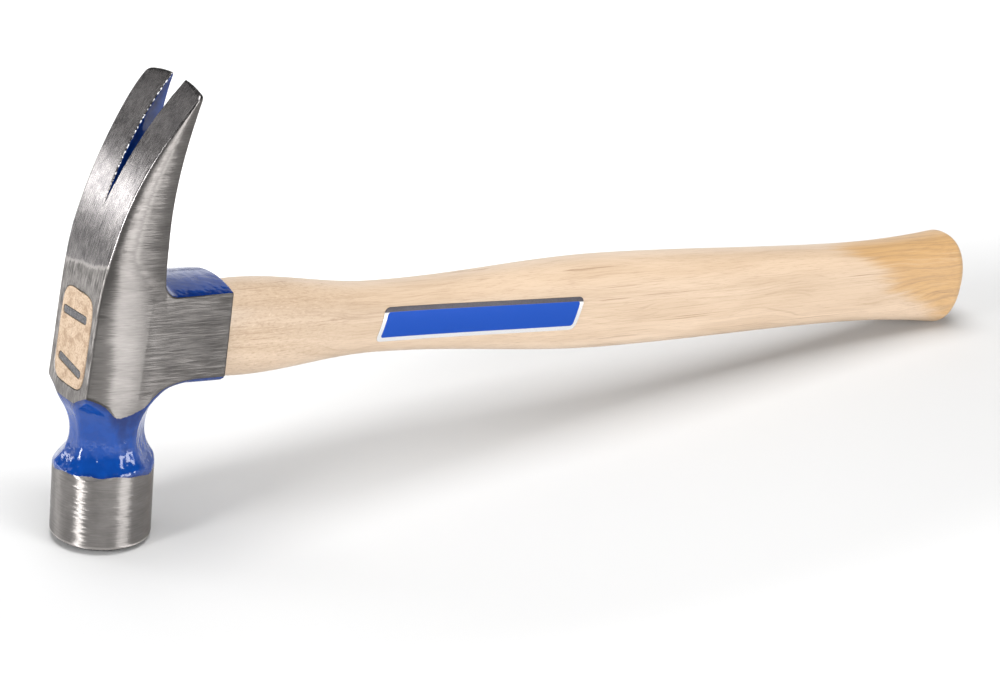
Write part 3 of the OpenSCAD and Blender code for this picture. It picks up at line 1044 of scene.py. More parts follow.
@dataclass(frozen=True)
class FieldGrid:
    """Grid of points on which a solid's signed distance is sampled to find its skin.

    Attributes:
        points: The grid's points as (x, y, z, XYZ).
    """

    points: Array

    def skin(self, distance: Distance) -> tuple[Array, list]:
        """Quads along the zero of a signed distance.

        Args:
            distance: Gives the signed distance of points, negative inside.

        Returns:
            Points and faces.
        """
        shape = self.points.shape[:3]
        values = distance(self.points.reshape(-1, 3)).reshape(shape)
        inside = values < 0
        corners = [(i, j, k) for i in (0, 1) for j in (0, 1) for k in (0, 1)]
        filled = sum(
            inside[i:shape[0] - 1 + i, j:shape[1] - 1 + j, k:shape[2] - 1 + k].astype(np.int8)
            for i, j, k in corners
        )
        crossed = (filled > 0) & (filled < 8)
        cells = np.argwhere(crossed)
        number = np.full(crossed.shape, -1)
        number[crossed] = np.arange(len(cells))
        total = np.zeros((len(cells), 3))
        hits = np.zeros((len(cells), 1))
        for axis in range(3):
            unit = np.eye(3, dtype=int)[axis]
            for corner in (c for c in corners if c[axis] == 0):
                first = tuple((cells + corner).T)
                last = tuple((cells + corner + unit).T)
                cut = inside[first] != inside[last]
                gap = np.where(cut, values[first] - values[last], 1.0)
                share = (values[first] / gap)[:, None]
                place = mix(self.points[first], self.points[last], share)
                total[cut] += place[cut]
                hits[cut] += 1
        quads = [self.quads(inside, number, axis) for axis in range(3)]
        return total / hits, np.concatenate(quads).tolist()

    @staticmethod
    def quads(inside: Array, number: Array, axis: int) -> Array:
        """Quads across the grid's edges along one axis.

        Args:
            inside: Which grid points are inside the solid.
            number: Number of the skin's point in each cell.
            axis: The edges' axis.

        Returns:
            Rows of four point numbers.
        """
        u, v = (axis + 1) % 3, (axis + 2) % 3
        count = inside.shape[axis]
        lower = np.take(inside, range(count - 1), axis)
        upper = np.take(inside, range(1, count), axis)
        edges = np.argwhere(lower != upper)
        starts_inside = lower[tuple(edges.T)]
        ring = []
        for du, dv in ((-1, -1), (0, -1), (0, 0), (-1, 0)):
            cell = edges.copy()
            cell[:, u] += du
            cell[:, v] += dv
            ring.append(number[tuple(cell.T)])
        quads = np.column_stack(ring)
        quads[~starts_inside] = quads[~starts_inside][:, ::-1]
        return quads


def gradient(distance: Distance, points: Array, step: float = 0.02) -> Array:
    """Slope of a signed distance at points.

    Args:
        distance: The signed distance.
        points: Rows of X, Y, Z.
        step: Half the span over which the slope is taken.

    Returns:
        Rows of slopes.
    """
    shifts = step * np.eye(3)
    return np.column_stack([(distance(points + s) - distance(points - s)) / (2 * step) for s in shifts])


def settle(distance: Distance, points: Array, rounds: int = 5, reach: float = 0.25) -> Array:
    """Move points onto the zero of a signed distance.

    Args:
        distance: The signed distance.
        points: Rows of X, Y, Z near the zero.
        rounds: Number of steps.
        reach: Longest way in one step.

    Returns:
        The moved points.
    """
    for _ in range(rounds):
        slope = gradient(distance, points)
        steep = np.maximum((slope ** 2).sum(1), 0.05)
        way = np.clip(distance(points) / steep, -reach, reach)
        points = points - way[:, None] * slope
    return points


@dataclass(frozen=True)
class Eye:
    """Tapered hole through the head, which the tenon fills.

    Attributes:
        length: Length through the head.
        height: Height at the end face.
        width: Width at the end face.
        height_in: Height at the collar.
        width_in: Width at the collar.
        square: Power of its oval.
    """

    length: float = 53.6
    height: float = 33.2
    width: float = 19.2
    height_in: float = 28.4
    width_in: float = 18.4
    square: float = 5.2

    def half_h(self, x: Any) -> Any:
        """Half its height at a place along it."""
        return mix(self.height, self.height_in, x / self.length) / 2

    def half_w(self, x: Any) -> Any:
        """Half its width at a place along it."""
        return mix(self.width, self.width_in, x / self.length) / 2

    def distance(self, x: Array, y: Array, z: Array) -> Array:
        """Distance from its wall, positive in the hole.

        Args:
            x: Places along the handle.
            y: Places across it.
            z: Heights.

        Returns:
            The distances.
        """
        p = np.abs(y) / self.half_w(x) + 1e-9
        q = np.abs(z) / self.half_h(x) + 1e-9
        size = p ** self.square + q ** self.square
        share = size ** (1 / self.square)
        rate = share / size
        slope_y = rate * p ** (self.square - 1) / self.half_w(x)
        slope_z = rate * q ** (self.square - 1) / self.half_h(x)
        return (1 - share) / np.hypot(slope_y, slope_z)


@dataclass(frozen=True)
class Head:
    """One steel forging: claws, the block round the eye, the neck and the poll.

    Lengths are in millimetres and angles in degrees. Heights are above the handle's axis, and depths
    run down the poll's axis.

    Attributes:
        eye: The hole for the tenon.
        end_w: Width at the end face.
        cheek_w: Greatest width of the cheeks.
        cheek_at: Place of the greatest width along the handle.
        cheek_power: Power of the cheeks' curve towards the end face.
        swell_power: Power of the crown across the claws' sides.
        collar_w: Width at the collar's face.
        collar_up: Height of the collar's top at its sides.
        collar_down: Distance of its underside from the axis, at its sides.
        collar_dome: Rise of its top towards the middle.
        collar_belly: Fall of its underside towards the middle.
        collar_lean: Lean of the collar's face.
        collar_soft: Radius of the edge round that face.
        claw_w: Width of the claws where they start to spread.
        tip_w: Width over the claws' tips.
        tip_z: Height of the tips.
        tip_t: Thickness of the tips.
        tip_fall: Fall of the tips per square of the distance from the middle.
        tip_corner: Radius of the tips' corners.
        outer_r: Radius of the claws' outer face.
        bend_z: Height at which that face starts to bend.
        spread_z: Height at which the claws start to spread.
        inner_r: Radius of the claws' inner face.
        inner_z: Height of the deepest point of that face.
        claw_fillet: Radius between the claws and the collar's top.
        crown_share: Crown of the claws' sides as a share of their thickness.
        blend_low: Height at which the cheeks start to turn into the claws' sides.
        blend_high: Height at which they have turned.
        inner_crown: Share of the crown that falls off towards the inner face.
        slot_z: Height of the nail slot's closed end.
        slot_w: Width of the slot at the tips, on the outer face.
        slot_bevel: Extra width behind that face.
        slot_back: Distance behind that face at which the slot is widest.
        slot_chamfer: Depth of the chamfer along the slot, from its sharp edge.
        slot_fade: Height above the closed end at which the chamfer is steady.
        poll_d: Diameter of the poll.
        poll_x: Place where the poll's axis crosses the handle's.
        poll_cant: Cant of the poll's axis.
        poll_end: Depth of the poll's flat end under the teeth.
        face_d: Depth of the striking face.
        face_chamfer: Chamfer round that face.
        waist_d: Depth of the neck's waist.
        waist_x: Size of the waist along the handle.
        waist_y: Size of the waist across the handle.
        waist_corner: Size of the waist over its corner flats.
        neck_shift: Shift of the neck along the handle.
        neck_r: Radius of the hollow flats above the waist.
        neck_side_r: The same on the two sides.
        flare_r: Radius of the hollow flats below the waist.
        neck_soft: Radius of the edges between the flats.
        neck_fillet: Radius between the neck and the collar's underside.
        edge_r: Radius of the ground edges.
        shoulder_r: Radius of the poll's shoulder.
        under_r: Radius of the edges above the waist.
        under_paint: How far the enamel reaches over those edges.
        paint_dip: Depth of a dip in that line.
        dip_x: Place of the dip along the handle.
        dip_half: Half the length of the dip.
        crisp_r: Radius of the crisp edges.
        paint_line: Depth at which the enamel ends on the poll.
        paint_waves: Size, number and start of the waves in that line.
        flare_d: Depth below the waist from which that line counts.
        grid_step: Step of the grid on which the skin is found.
    """

    eye: Eye = Eye()
    end_w: float = 24.8
    cheek_w: float = 28.9
    cheek_at: float = 20.0
    cheek_power: float = 1.9
    swell_power: float = 2.4
    collar_w: float = 26.8
    collar_up: float = 17.3
    collar_down: float = 13.2
    collar_dome: float = 2.7
    collar_belly: float = 3.9
    collar_lean: float = 3.0
    collar_soft: float = 0.8
    claw_w: float = 27.4
    tip_w: float = 36.8
    tip_z: float = 90.7
    tip_t: float = 0.6
    tip_fall: float = 0.0086
    tip_corner: float = 1.5
    outer_r: float = 128.5
    bend_z: float = 12.2
    spread_z: float = 36.0
    inner_r: float = 185.0
    inner_z: float = 49.0
    claw_fillet: float = 5.0
    crown_share: float = 0.08
    blend_low: float = 2.0
    blend_high: float = 34.0
    inner_crown: float = 0.4
    slot_z: float = 47.4
    slot_w: float = 7.6
    slot_bevel: float = 3.4
    slot_back: float = 8.0
    slot_chamfer: float = 0.35
    slot_fade: float = 8.0
    poll_d: float = 34.6
    poll_x: float = 14.0
    poll_cant: float = 6.0
    poll_end: float = 72.1
    face_d: float = 73.0
    face_chamfer: float = 1.7
    waist_d: float = 34.0
    waist_x: float = 25.6
    waist_y: float = 26.4
    waist_corner: float = 23.5
    neck_shift: float = 0.8
    neck_r: float = 21.0
    neck_side_r: float = 45.0
    flare_r: float = 15.5
    neck_soft: float = 1.1
    neck_fillet: float = 2.5
    edge_r: float = 0.65
    shoulder_r: float = 0.5
    under_r: float = 1.8
    under_paint: float = 1.15
    paint_dip: float = 1.05
    dip_x: float = 16.5
    dip_half: float = 9.0
    crisp_r: float = 0.3
    paint_line: float = 46.2
    paint_waves: tuple[tuple[float, float, float], ...] = ((0.9, 2, 2.6), (0.35, 5, 0.6), (0.2, 11, 0.0))
    flare_d: float = 4.0
    grid_step: float = 0.6

    @property
    def inner_x(self) -> float:
        """Place of the deepest point of the claws' hollow inner face."""
        sag = self.inner_r - math.sqrt(self.inner_r ** 2 - (self.tip_z - self.inner_z) ** 2)
        return float(self.outer_x(self.tip_z)) + self.tip_t - sag

    def outer_x(self, z: Any) -> Any:
        """Place of the claws' outer face at a height."""
        rise = np.maximum(z - self.bend_z, 0)
        return self.outer_r - np.sqrt(self.outer_r ** 2 - rise ** 2)

    def inner_face(self, z: Any) -> Any:
        """Place of the claws' inner face at a height."""
        return self.inner_x + self.inner_r - np.sqrt(self.inner_r ** 2 - (z - self.inner_z) ** 2)

    def to_poll(self, x: Any, z: Any) -> tuple[Any, Any]:
        """Place across the poll's axis and depth along it."""
        c, s = math.cos(math.radians(self.poll_cant)), math.sin(math.radians(self.poll_cant))
        return (x - self.poll_x) * c + z * s, (x - self.poll_x) * s - z * c

    def half_width(self, x: Array, z: Array) -> Array:
        """Half the width of the cheeks and the claws.

        Args:
            x: Places along the handle.
            z: Heights.

        Returns:
            The half widths.
        """
        near = mix(self.cheek_w, self.end_w, np.clip(1 - x / self.cheek_at, 0, 1.2) ** self.cheek_power)
        far = mix(self.cheek_w, self.collar_w, (x - self.cheek_at) / (self.eye.length - self.cheek_at))
        cheek = np.where(x < self.cheek_at, near, far) / 2
        spread_r = ((self.tip_z - self.spread_z) ** 2 + ((self.tip_w - self.claw_w) / 2) ** 2) / (
            self.tip_w - self.claw_w
        )
        rise = np.maximum(z - self.spread_z, 0)
        widening = spread_r - np.sqrt(spread_r ** 2 - rise ** 2)
        root = (z - self.collar_up) / (self.spread_z - self.collar_up)
        edge = mix(self.end_w, self.claw_w, np.clip(root, 0, 1)) / 2 + widening
        level = np.clip(z, 0, self.tip_z)
        front = self.outer_x(level)
        thick = self.inner_face(level) - front
        share = np.clip((x - front) / thick, 0, 1)
        crown = np.minimum((self.cheek_w - self.end_w) / 2, self.crown_share * thick)
        fall = np.where(share < 0.5, 1.0, self.inner_crown)
        claw = edge + crown * (1 - fall * np.abs(2 * share - 1) ** self.swell_power)
        above = ease((z - self.blend_low) / (self.blend_high - self.blend_low))
        beside = 1 - ease((x - self.inner_x + self.claw_fillet) / (4 * self.claw_fillet))
        return mix(cheek, claw, above * beside)

    def neck(self, along: Array, y: Array, depth: Array) -> Array:
        """Distance from the neck's eight hollow flats.

        Args:
            along: Places across the poll's axis, along the handle.
            y: Places across the poll's axis, across the handle.
            depth: Depths along the poll's axis.

        Returns:
            The distances, negative inside.
        """
        u = along - self.neck_shift
        flats = (
            (u, self.waist_x, self.neck_r),
            (y, self.waist_y, self.neck_side_r),
            ((u + y) / math.sqrt(2), self.waist_corner, self.neck_r),
            ((u - y) / math.sqrt(2), self.waist_corner, self.neck_r),
        )
        whole = None
        for place, waist, upper_r in flats:
            radius = np.where(depth < self.waist_d, upper_r, self.flare_r)
            flat = radius - np.hypot(np.abs(place) - waist / 2 - radius, depth - self.waist_d)
            whole = flat if whole is None else rounded_max(whole, flat, self.neck_soft)
        return whole

    def surfaces(self, points: Array) -> dict[str, Array]:
        """Distances from the surfaces that bound the head.

        Args:
            points: Rows of X, Y, Z.

        Returns:
            Distances by the surface's name, negative on the steel's side.
        """
        x, y, z = points.T
        along, depth = self.to_poll(x, z)
        half = np.clip(np.abs(y) * 2 / self.cheek_w, 0, 1)
        arch = 1 - half ** 2
        upright = np.hypot(x - self.outer_r, z - self.bend_z) - self.outer_r
        outer = np.where(z > self.bend_z, upright, -x)
        inner = self.inner_r - np.hypot(x - self.inner_x - self.inner_r, z - self.inner_z)
        top = z - self.collar_up - self.collar_dome * arch
        under = -self.collar_down - self.collar_belly * arch - z
        lean = math.radians(self.collar_lean)
        rise = (z - self.slot_z) / (self.tip_z - self.slot_z)
        back = np.clip((x - self.outer_x(np.clip(z, 0, self.tip_z))) / self.slot_back, 0, 1)
        slot = (self.slot_w / 2 + self.slot_bevel / 2 * back) * rise - np.abs(y)
        return {
            "upper": rounded_min(inner, top, self.claw_fillet),
            "lower": rounded_min(under, self.neck(along, y, depth), self.neck_fillet),
            "side": np.abs(y) - self.half_width(x, z),
            "outer": outer,
            "collar": (x - self.eye.length) * math.cos(lean) + z * math.sin(lean),
            "tip": z - self.tip_z + self.tip_fall * y ** 2,
            "slot": slot,
            "eye": self.eye.distance(x, y, z),
            "radius": np.hypot(along, y),
            "depth": depth,
        }

    def distance(self, points: Array) -> Array:
        """Signed distance from the whole head's skin.

        Args:
            points: Rows of X, Y, Z.

        Returns:
            The distances, negative inside.
        """
        s = self.surfaces(points)
        plan = rounded_max(s["side"], s["tip"], self.tip_corner)
        plan = rounded_max(plan, s["outer"], self.edge_r)
        plan = rounded_max(plan, s["collar"], self.collar_soft)
        rim = (s["radius"] + s["depth"] - self.poll_d / 2 - self.face_d + self.face_chamfer) / math.sqrt(2)
        barrel = rounded_max(s["radius"] - self.poll_d / 2, rim, self.crisp_r)
        barrel = rounded_max(barrel, s["depth"] - self.poll_end, self.crisp_r)
        limit = np.where(s["depth"] > self.waist_d, barrel, plan)
        lower = np.where(
            s["depth"] > self.waist_d,
            rounded_max(s["lower"], limit, self.shoulder_r),
            rounded_max(s["lower"], limit, self.under_r),
        )
        solid = np.maximum(rounded_max(s["upper"], limit, self.edge_r), lower)
        solid = rounded_max(solid, s["slot"], self.crisp_r)
        bevel = self.slot_chamfer * np.clip((points[:, 2] - self.slot_z) / self.slot_fade, 0, 1)
        solid = np.maximum(solid, (s["slot"] + s["outer"]) / math.sqrt(2) + bevel)
        return rounded_max(solid, s["eye"], self.edge_r)

    def paint_edge(self, points: Array) -> Array:
        """Distance from the enamel's edge, positive under the enamel.

        Args:
            points: Points on the skin.

        Returns:
            The distances in millimetres.
        """
        s = self.surfaces(points)
        x, y, z = points.T
        dip = self.paint_dip * np.maximum(1 - ((x - self.dip_x) / self.dip_half) ** 2, 0)
        forged = np.maximum(np.maximum(s["upper"], s["lower"] + self.under_paint - dip), s["slot"])
        ground = np.maximum(np.maximum(s["side"], s["outer"]), s["tip"])
        turn = np.arctan2(y, self.to_poll(x, z)[0])
        wave = sum(size * np.sin(count * turn + start) for size, count, start in self.paint_waves)
        on_poll = self.paint_line + wave - s["depth"]
        return np.where(s["depth"] > self.waist_d + self.flare_d, on_poll, forged - ground)

    def edge_share(self, points: Array) -> Array:
        """Share of the way across a cheek or a claw's side, from its outer edge.

        Args:
            points: Points on the skin.

        Returns:
            The shares, 0 at the outer edge.
        """
        x, _, z = points.T
        level = np.clip(z, 0, self.tip_z)
        front = self.outer_x(level)
        claw = self.inner_face(level) - front
        wide = mix(self.eye.length, claw, ease((z - self.collar_up) / self.collar_up))
        least = 2.0
        return (x - front) / np.maximum(wide, least)

    def grid(self) -> FieldGrid:
        """Grid that narrows with the claws and is finest at the nail slot.

        Returns:
            The grid.
        """
        margin = 1.5
        low = -self.face_d - margin
        high = self.tip_z + 2 * self.grid_step
        levels = np.linspace(low, high, int((high - low) / self.grid_step))
        wide = self.eye.length + 2 * margin
        columns = np.linspace(-0.5, 0.5, int(wide / self.grid_step))
        fine, reach, half_rows = 0.2, 4.0, 35
        rows = np.arange(-half_rows, half_rows + 1)
        across = self.grid_step * rows - (self.grid_step - fine) * reach * np.tanh(rows / reach)
        tip_wide, claw_z = 12.0, 60.0
        top = np.clip(levels, 0, self.tip_z)
        claw_middle = (self.outer_x(top) + self.inner_face(top)) / 2
        block_top = self.collar_up + self.claw_fillet
        width = mix(wide, tip_wide, ease((levels - block_top) / (self.tip_z - block_top)))
        middle = mix(self.eye.length / 2, claw_middle, ease((levels - block_top) / (claw_z - block_top)))
        x = middle[None, None, :] + columns[:, None, None] * width[None, None, :]
        x, y, z = np.broadcast_arrays(x, across[None, :, None], levels[None, None, :])
        return FieldGrid(np.stack((x, y, z), axis=-1))

    def build(self) -> bpy.types.Mesh:
        """Skin of the head with its normals and its paint, front and edge attributes.

        Returns:
            The mesh, in place.
        """
        points, faces = self.grid().skin(self.distance)
        points = settle(self.distance, points)
        mesh = bpy.data.meshes.new("head")
        mesh.from_pydata(POSE.place(points).tolist(), [], faces)
        mesh.shade_smooth()
        slope = POSE.turn(gradient(self.distance, points))
        slope /= np.maximum(np.linalg.norm(slope, axis=1, keepdims=True), 1e-6)
        s = self.surfaces(points)
        values_by_name = {
            "paint": self.paint_edge(points),
            "front": s["outer"] - s["side"],
            "edge": self.edge_share(points),
        }
        limit = 9.0
        for name, values in values_by_name.items():
            attribute = mesh.attributes.new(name, "FLOAT", "POINT")
            attribute.data.foreach_set("value", np.clip(values, -limit, limit).astype(np.float32))
        mesh.normals_split_custom_set_from_vertices(slope.tolist())
        return mesh

    def dress(self) -> bpy.types.Object:
        """Finished head in place of its CAD node."""
        finish = HeadFinish("head_steel_and_enamel", poll_x=self.poll_x, poll_cant=self.poll_cant)
        return add_piece("forged_head", self.build(), finish, "head")


@dataclass(frozen=True)
class MilledFace:
    """Waffle of square teeth on the poll, made by Geometry Nodes.

    Attributes:
        head: The head that carries it.
        radius: Radius at the bottom of the grooves.
        pitch: Distance between grooves.
        depth: Depth of the grooves.
        floor_d: Depth of the grooves' bottom along the poll's axis.
        base: Thickness of the sheet under the grooves.
        steps: Grid steps in one pitch.
    """

    head: Head
    radius: float = 16.2
    pitch: float = 3.3
    depth: float = 0.75
    floor_d: float = 72.25
    base: float = 0.5
    steps: int = 12

    def tree(self) -> bpy.types.NodeTree:
        """Node tree that raises the teeth from a round grid.

        Returns:
            The tree, with an input for each size and the material.
        """
        tree = bpy.data.node_groups.new("milled_teeth", "GeometryNodeTree")
        graph = Graph(tree)
        for name in ("Radius", "Pitch", "Depth", "Base", "Spacing"):
            tree.interface.new_socket(name=name, in_out="INPUT", socket_type="NodeSocketFloat")
        tree.interface.new_socket(name="Rows", in_out="INPUT", socket_type="NodeSocketInt")
        tree.interface.new_socket(name="Material", in_out="INPUT", socket_type="NodeSocketMaterial")
        tree.interface.new_socket(name="Geometry", in_out="OUTPUT", socket_type="NodeSocketGeometry")
        sizes = graph.node("NodeGroupInput")
        radius, pitch, depth, base, spacing, rows, material = (Value(graph, s) for s in sizes.outputs[:7])
        side = spacing * (rows - 1.0)
        grid_inputs = {"Size X": side, "Size Y": side, "Vertices X": rows, "Vertices Y": rows}
        sheet = graph.value("GeometryNodeMeshGrid", {}, grid_inputs, "Mesh")
        place = graph.value("GeometryNodeInputPosition", {}, {}, "Position")
        u, v, _ = graph.split(place)
        reach = (u * u + v * v) ** 0.5
        outside = graph.math("GREATER_THAN", reach, radius + spacing * 0.6)
        cut_inputs = {"Geometry": sheet, "Selection": outside}
        disc = graph.value("GeometryNodeDeleteGeometry", {"domain": "POINT"}, cut_inputs, "Geometry")
        scale = radius / reach.most(spacing)
        rim_place = graph.vector(u * scale, v * scale, 0.0)
        at_rim = graph.math("GREATER_THAN", reach, radius - spacing * 0.45)
        rim_inputs = {"Geometry": disc, "Selection": at_rim, "Position": rim_place}
        disc = graph.value("GeometryNodeSetPosition", {}, rim_inputs, "Geometry")
        raised = graph.node(
            "GeometryNodeExtrudeMesh",
            {"mode": "FACES"},
            {"Mesh": disc, "Offset": (0.0, 0.0, 1.0), "Offset Scale": base, "Individual": False},
        )
        tooth = self.tooth_height(graph, u, v, pitch).least(depth).least((radius - reach).most(0.0))
        body = Value(graph, raised.outputs["Mesh"])
        crown = Value(graph, raised.outputs["Top"])
        stored = graph.value(
            "GeometryNodeStoreNamedAttribute",
            {"data_type": "FLOAT", "domain": "POINT"},
            {"Geometry": body, "Selection": crown, "Name": "tooth", "Value": tooth / depth},
            "Geometry",
        )
        lifted = graph.value(
            "GeometryNodeSetPosition",
            {},
            {"Geometry": stored, "Selection": crown, "Offset": graph.vector(0.0, 0.0, tooth)},
            "Geometry",
        )
        back = graph.value("GeometryNodeFlipFaces", {}, {"Mesh": disc}, "Mesh")
        join = graph.node("GeometryNodeJoinGeometry")
        for part in (back, lifted):
            tree.links.new(part.socket, join.inputs["Geometry"])
        joined = Value(graph, join.outputs["Geometry"])
        closed = graph.value(
            "GeometryNodeMergeByDistance", {}, {"Geometry": joined, "Distance": spacing * 0.01}, "Geometry"
        )
        real = graph.value("GeometryNodeRealizeInstances", {}, {"Geometry": closed}, "Geometry")
        coat = {"Geometry": real, "Material": material}
        done = graph.value("GeometryNodeSetMaterial", {}, coat, "Geometry")
        graph.node("NodeGroupOutput", {}, {"Geometry": done})
        return tree

    @staticmethod
    def tooth_height(graph: Graph, u: Value, v: Value, pitch: Value) -> Value:
        """Height of a tooth whose flanks rise at 45 degrees from the nearest groove.

        Args:
            graph: The tree.
            u: Place across one set of grooves.
            v: Place across the other set.
            pitch: Distance between grooves.

        Returns:
            The height above the grooves' bottom.
        """
        ways = [abs(graph.math("FRACT", place / pitch) - 0.5) * pitch for place in (u, v)]
        return ways[0].least(ways[1])

    def build(self, material: bpy.types.Material) -> bpy.types.Mesh:
        """Evaluate the tree into a plain mesh on the poll.

        Args:
            material: The material that the tree sets.

        Returns:
            The mesh, in place.
        """
        tree = self.tree()
        spacing = self.pitch / self.steps
        sizes = {
            "Radius": self.radius,
            "Pitch": self.pitch,
            "Depth": self.depth,
            "Base": self.base,
            "Spacing": spacing,
            "Rows": 2 * math.ceil(self.radius / spacing + 1) + 1,
            "Material": material,
        }
        carrier = put("milled_teeth", bpy.data.meshes.new("milled_teeth"))
        modifier = carrier.modifiers.new("teeth", "NODES")
        modifier.node_group = tree
        for item in tree.interface.items_tree:
            if item.in_out == "INPUT":
                modifier[item.identifier] = sizes[item.name]
        evaluated = carrier.evaluated_get(bpy.context.evaluated_depsgraph_get())
        mesh = bpy.data.meshes.new_from_object(evaluated)
        bpy.data.objects.remove(carrier)
        points = np.zeros(len(mesh.vertices) * 3)
        mesh.vertices.foreach_get("co", points)
        u, v, lift = points.reshape(-1, 3).T
        along, y = (u - v) / math.sqrt(2), -(u + v) / math.sqrt(2)
        depth = self.floor_d - self.base + lift
        cant = math.radians(self.head.poll_cant)
        x = self.head.poll_x + along * math.cos(cant) + depth * math.sin(cant)
        z = along * math.sin(cant) - depth * math.cos(cant)
        mesh.vertices.foreach_set("co", POSE.place(np.column_stack((x, y, z))).ravel())
        mesh.shade_flat()
        return mesh

    def dress(self) -> bpy.types.Object:
        """Finished striking face on the poll."""
        finish = MilledFinish("milled_steel")
        return add_piece("milled_face", self.build(finish.material()), finish)


def cut_away(blank: bpy.types.Mesh, cutters: Sequence[Array], sharp_degrees: float) -> bpy.types.Mesh:
    """Cut solids out of a mesh.

    Args:
        blank: The mesh, in place.
        cutters: Rings of each solid to cut away, in the hammer's own frame.
        sharp_degrees: Angle between faces above which an edge stays sharp.

    Returns:
        The cut mesh.
    """
    whole = put("blank", blank)
    tools = []
    for rings in cutters:
        tool = put("cutter", mesh_of(loft(rings)))
        modifier = whole.modifiers.new("cut", "BOOLEAN")
        modifier.operation = "DIFFERENCE"
        modifier.solver = "EXACT"
        modifier.object = tool
        tools.append(tool)
    evaluated = whole.evaluated_get(bpy.context.evaluated_depsgraph_get())
    mesh = bpy.data.meshes.new_from_object(evaluated)
    for used in (whole, *tools):
        bpy.data.objects.remove(used)
    mesh.shade_smooth()
    mesh.set_sharp_from_angle(angle=math.radians(sharp_degrees))
    return mesh


@dataclass(frozen=True)
class Wedges:
    """Wooden wedge in the tenon's kerf and two steel wedges across it.

    Lengths are in millimetres, angles in degrees and turns about X.

    Attributes:
        eye: The eye that they are driven into.
        width: Width of a steel wedge.
        thick: Its thickness at the end face.
        tip: Thickness of the tips.
        length: Length of a steel wedge.
        upper_z: Height of the upper steel wedge.
        upper_y: Its shift across the handle.
        upper_turn: Its turn.
        lower_z: Height of the lower steel wedge.
        lower_turn: Its turn.
        kerf_t: Thickness of the wooden wedge at the end face.
        kerf_l: Length of the wooden wedge.
        wood_fit: Clearance round the wedges.
        corner: Radius of a steel wedge's corners.
        edge: Chamfer of its end.
        recess: Depth of its end behind the end face.
        sharp: Angle between faces above which an edge stays sharp.
    """

    eye: Eye = Eye()
    width: float = 15.0
    thick: float = 3.1
    tip: float = 0.7
    length: float = 22.0
    upper_z: float = 7.9
    upper_y: float = 0.8
    upper_turn: float = -2.0
    lower_z: float = -9.7
    lower_turn: float = 10.0
    kerf_t: float = 3.0
    kerf_l: float = 36.0
    wood_fit: float = 0.06
    corner: float = 1.15
    edge: float = 0.3
    recess: float = 0.12
    sharp: float = 35.0

    @staticmethod
    def rounded_bar(half_w: float, half_h: float, radius: float, steps: int = 5) -> tuple[Array, Array]:
        """Bar with rounded corners, clockwise with the width to the right.

        Args:
            half_w: Half its width.
            half_h: Half its height.
            radius: Radius of its corners.
            steps: Parts of a corner's arc.

        Returns:
            The points' places across and up.
        """
        radius = min(radius, 0.98 * half_w, 0.98 * half_h)
        arc = np.linspace(0, np.pi / 2, steps + 1)
        turns = np.concatenate([arc + quarter * np.pi / 2 for quarter in range(4)])[::-1]
        quarter = np.floor(turns / (np.pi / 2) - 1e-9)
        side_x = np.where((quarter == 0) | (quarter == 3) | (quarter < 0), 1, -1)
        side_z = np.where(quarter <= 1, 1, -1)
        across = (half_w - radius) * side_x + radius * np.cos(turns)
        up = (half_h - radius) * side_z + radius * np.sin(turns)
        return across, up

    def plate(self, width: float, thick: float, length: float, gap: float, start: float) -> Array:
        """Rings of a tapered plate that lies across Z and is driven along X.

        Args:
            width: Its width along Y.
            thick: Its thickness at the end face.
            length: Its length.
            gap: Clearance all round.
            start: Where it starts along X.

        Returns:
            The rings.
        """
        soft = self.edge if start >= 0 else 0.0
        stations = [start, start + soft, length * 0.5, length] if soft else [start, length + gap]
        rings = []
        for k, x in enumerate(stations):
            inset = soft if k == 0 else 0.0
            half_t = mix(thick, self.tip, x / length) / 2 + gap - inset
            across, up = self.rounded_bar(width / 2 + gap - inset, half_t, self.corner - inset)
            rings.append(np.column_stack((np.full_like(up, x), across, up)))
        return np.stack(rings)

    @staticmethod
    def turned(points: Array, degrees: float, y: float, z: float) -> Array:
        """Turn points about X and shift them.

        Args:
            points: Rows of X, Y, Z, of any shape.
            degrees: The turn.
            y: Shift along Y.
            z: Shift along Z.

        Returns:
            The moved points.
        """
        c, s = math.cos(math.radians(degrees)), math.sin(math.radians(degrees))
        moved = np.array(points)
        moved[..., 1] = c * points[..., 1] - s * points[..., 2] + y
        moved[..., 2] = s * points[..., 1] + c * points[..., 2] + z
        return moved

    def steel(self, upper: bool, gap: float = 0.0, start: Optional[float] = None) -> Array:
        """Rings of a steel wedge in place.

        Args:
            upper: Whether it is the upper wedge.
            gap: Clearance all round.
            start: Where it starts along X; by default just inside the end face.

        Returns:
            The rings.
        """
        start = self.recess if start is None else start
        rings = self.plate(self.width, self.thick, self.length, gap, start)
        if upper:
            return self.turned(rings, self.upper_turn, self.upper_y, self.upper_z)
        return self.turned(rings, self.lower_turn, 0.0, self.lower_z)

    def wood(self, gap: float = 0.0, start: float = 0.02, spare: float = 0.0) -> Array:
        """Rings of the wooden wedge, which stands upright in the kerf.

        Args:
            gap: Clearance all round.
            start: Where it starts along X.
            spare: Extra height at top and bottom.

        Returns:
            The rings.
        """
        rings = []
        for x in np.linspace(start, self.kerf_l + gap, 8):
            half_t = mix(self.kerf_t, self.tip, x / self.kerf_l) / 2 + gap
            half_h = self.eye.half_h(x) - 2 * self.wood_fit + spare
            across, up = self.rounded_bar(half_t, half_h, 0.12)
            rings.append(np.column_stack((np.full_like(up, x), across, up)))
        return np.stack(rings)

    def steel_cuts(self) -> list[Array]:
        """Rings of the room that both steel wedges need."""
        return [self.steel(upper, self.wood_fit, -CUT_PAST) for upper in (True, False)]

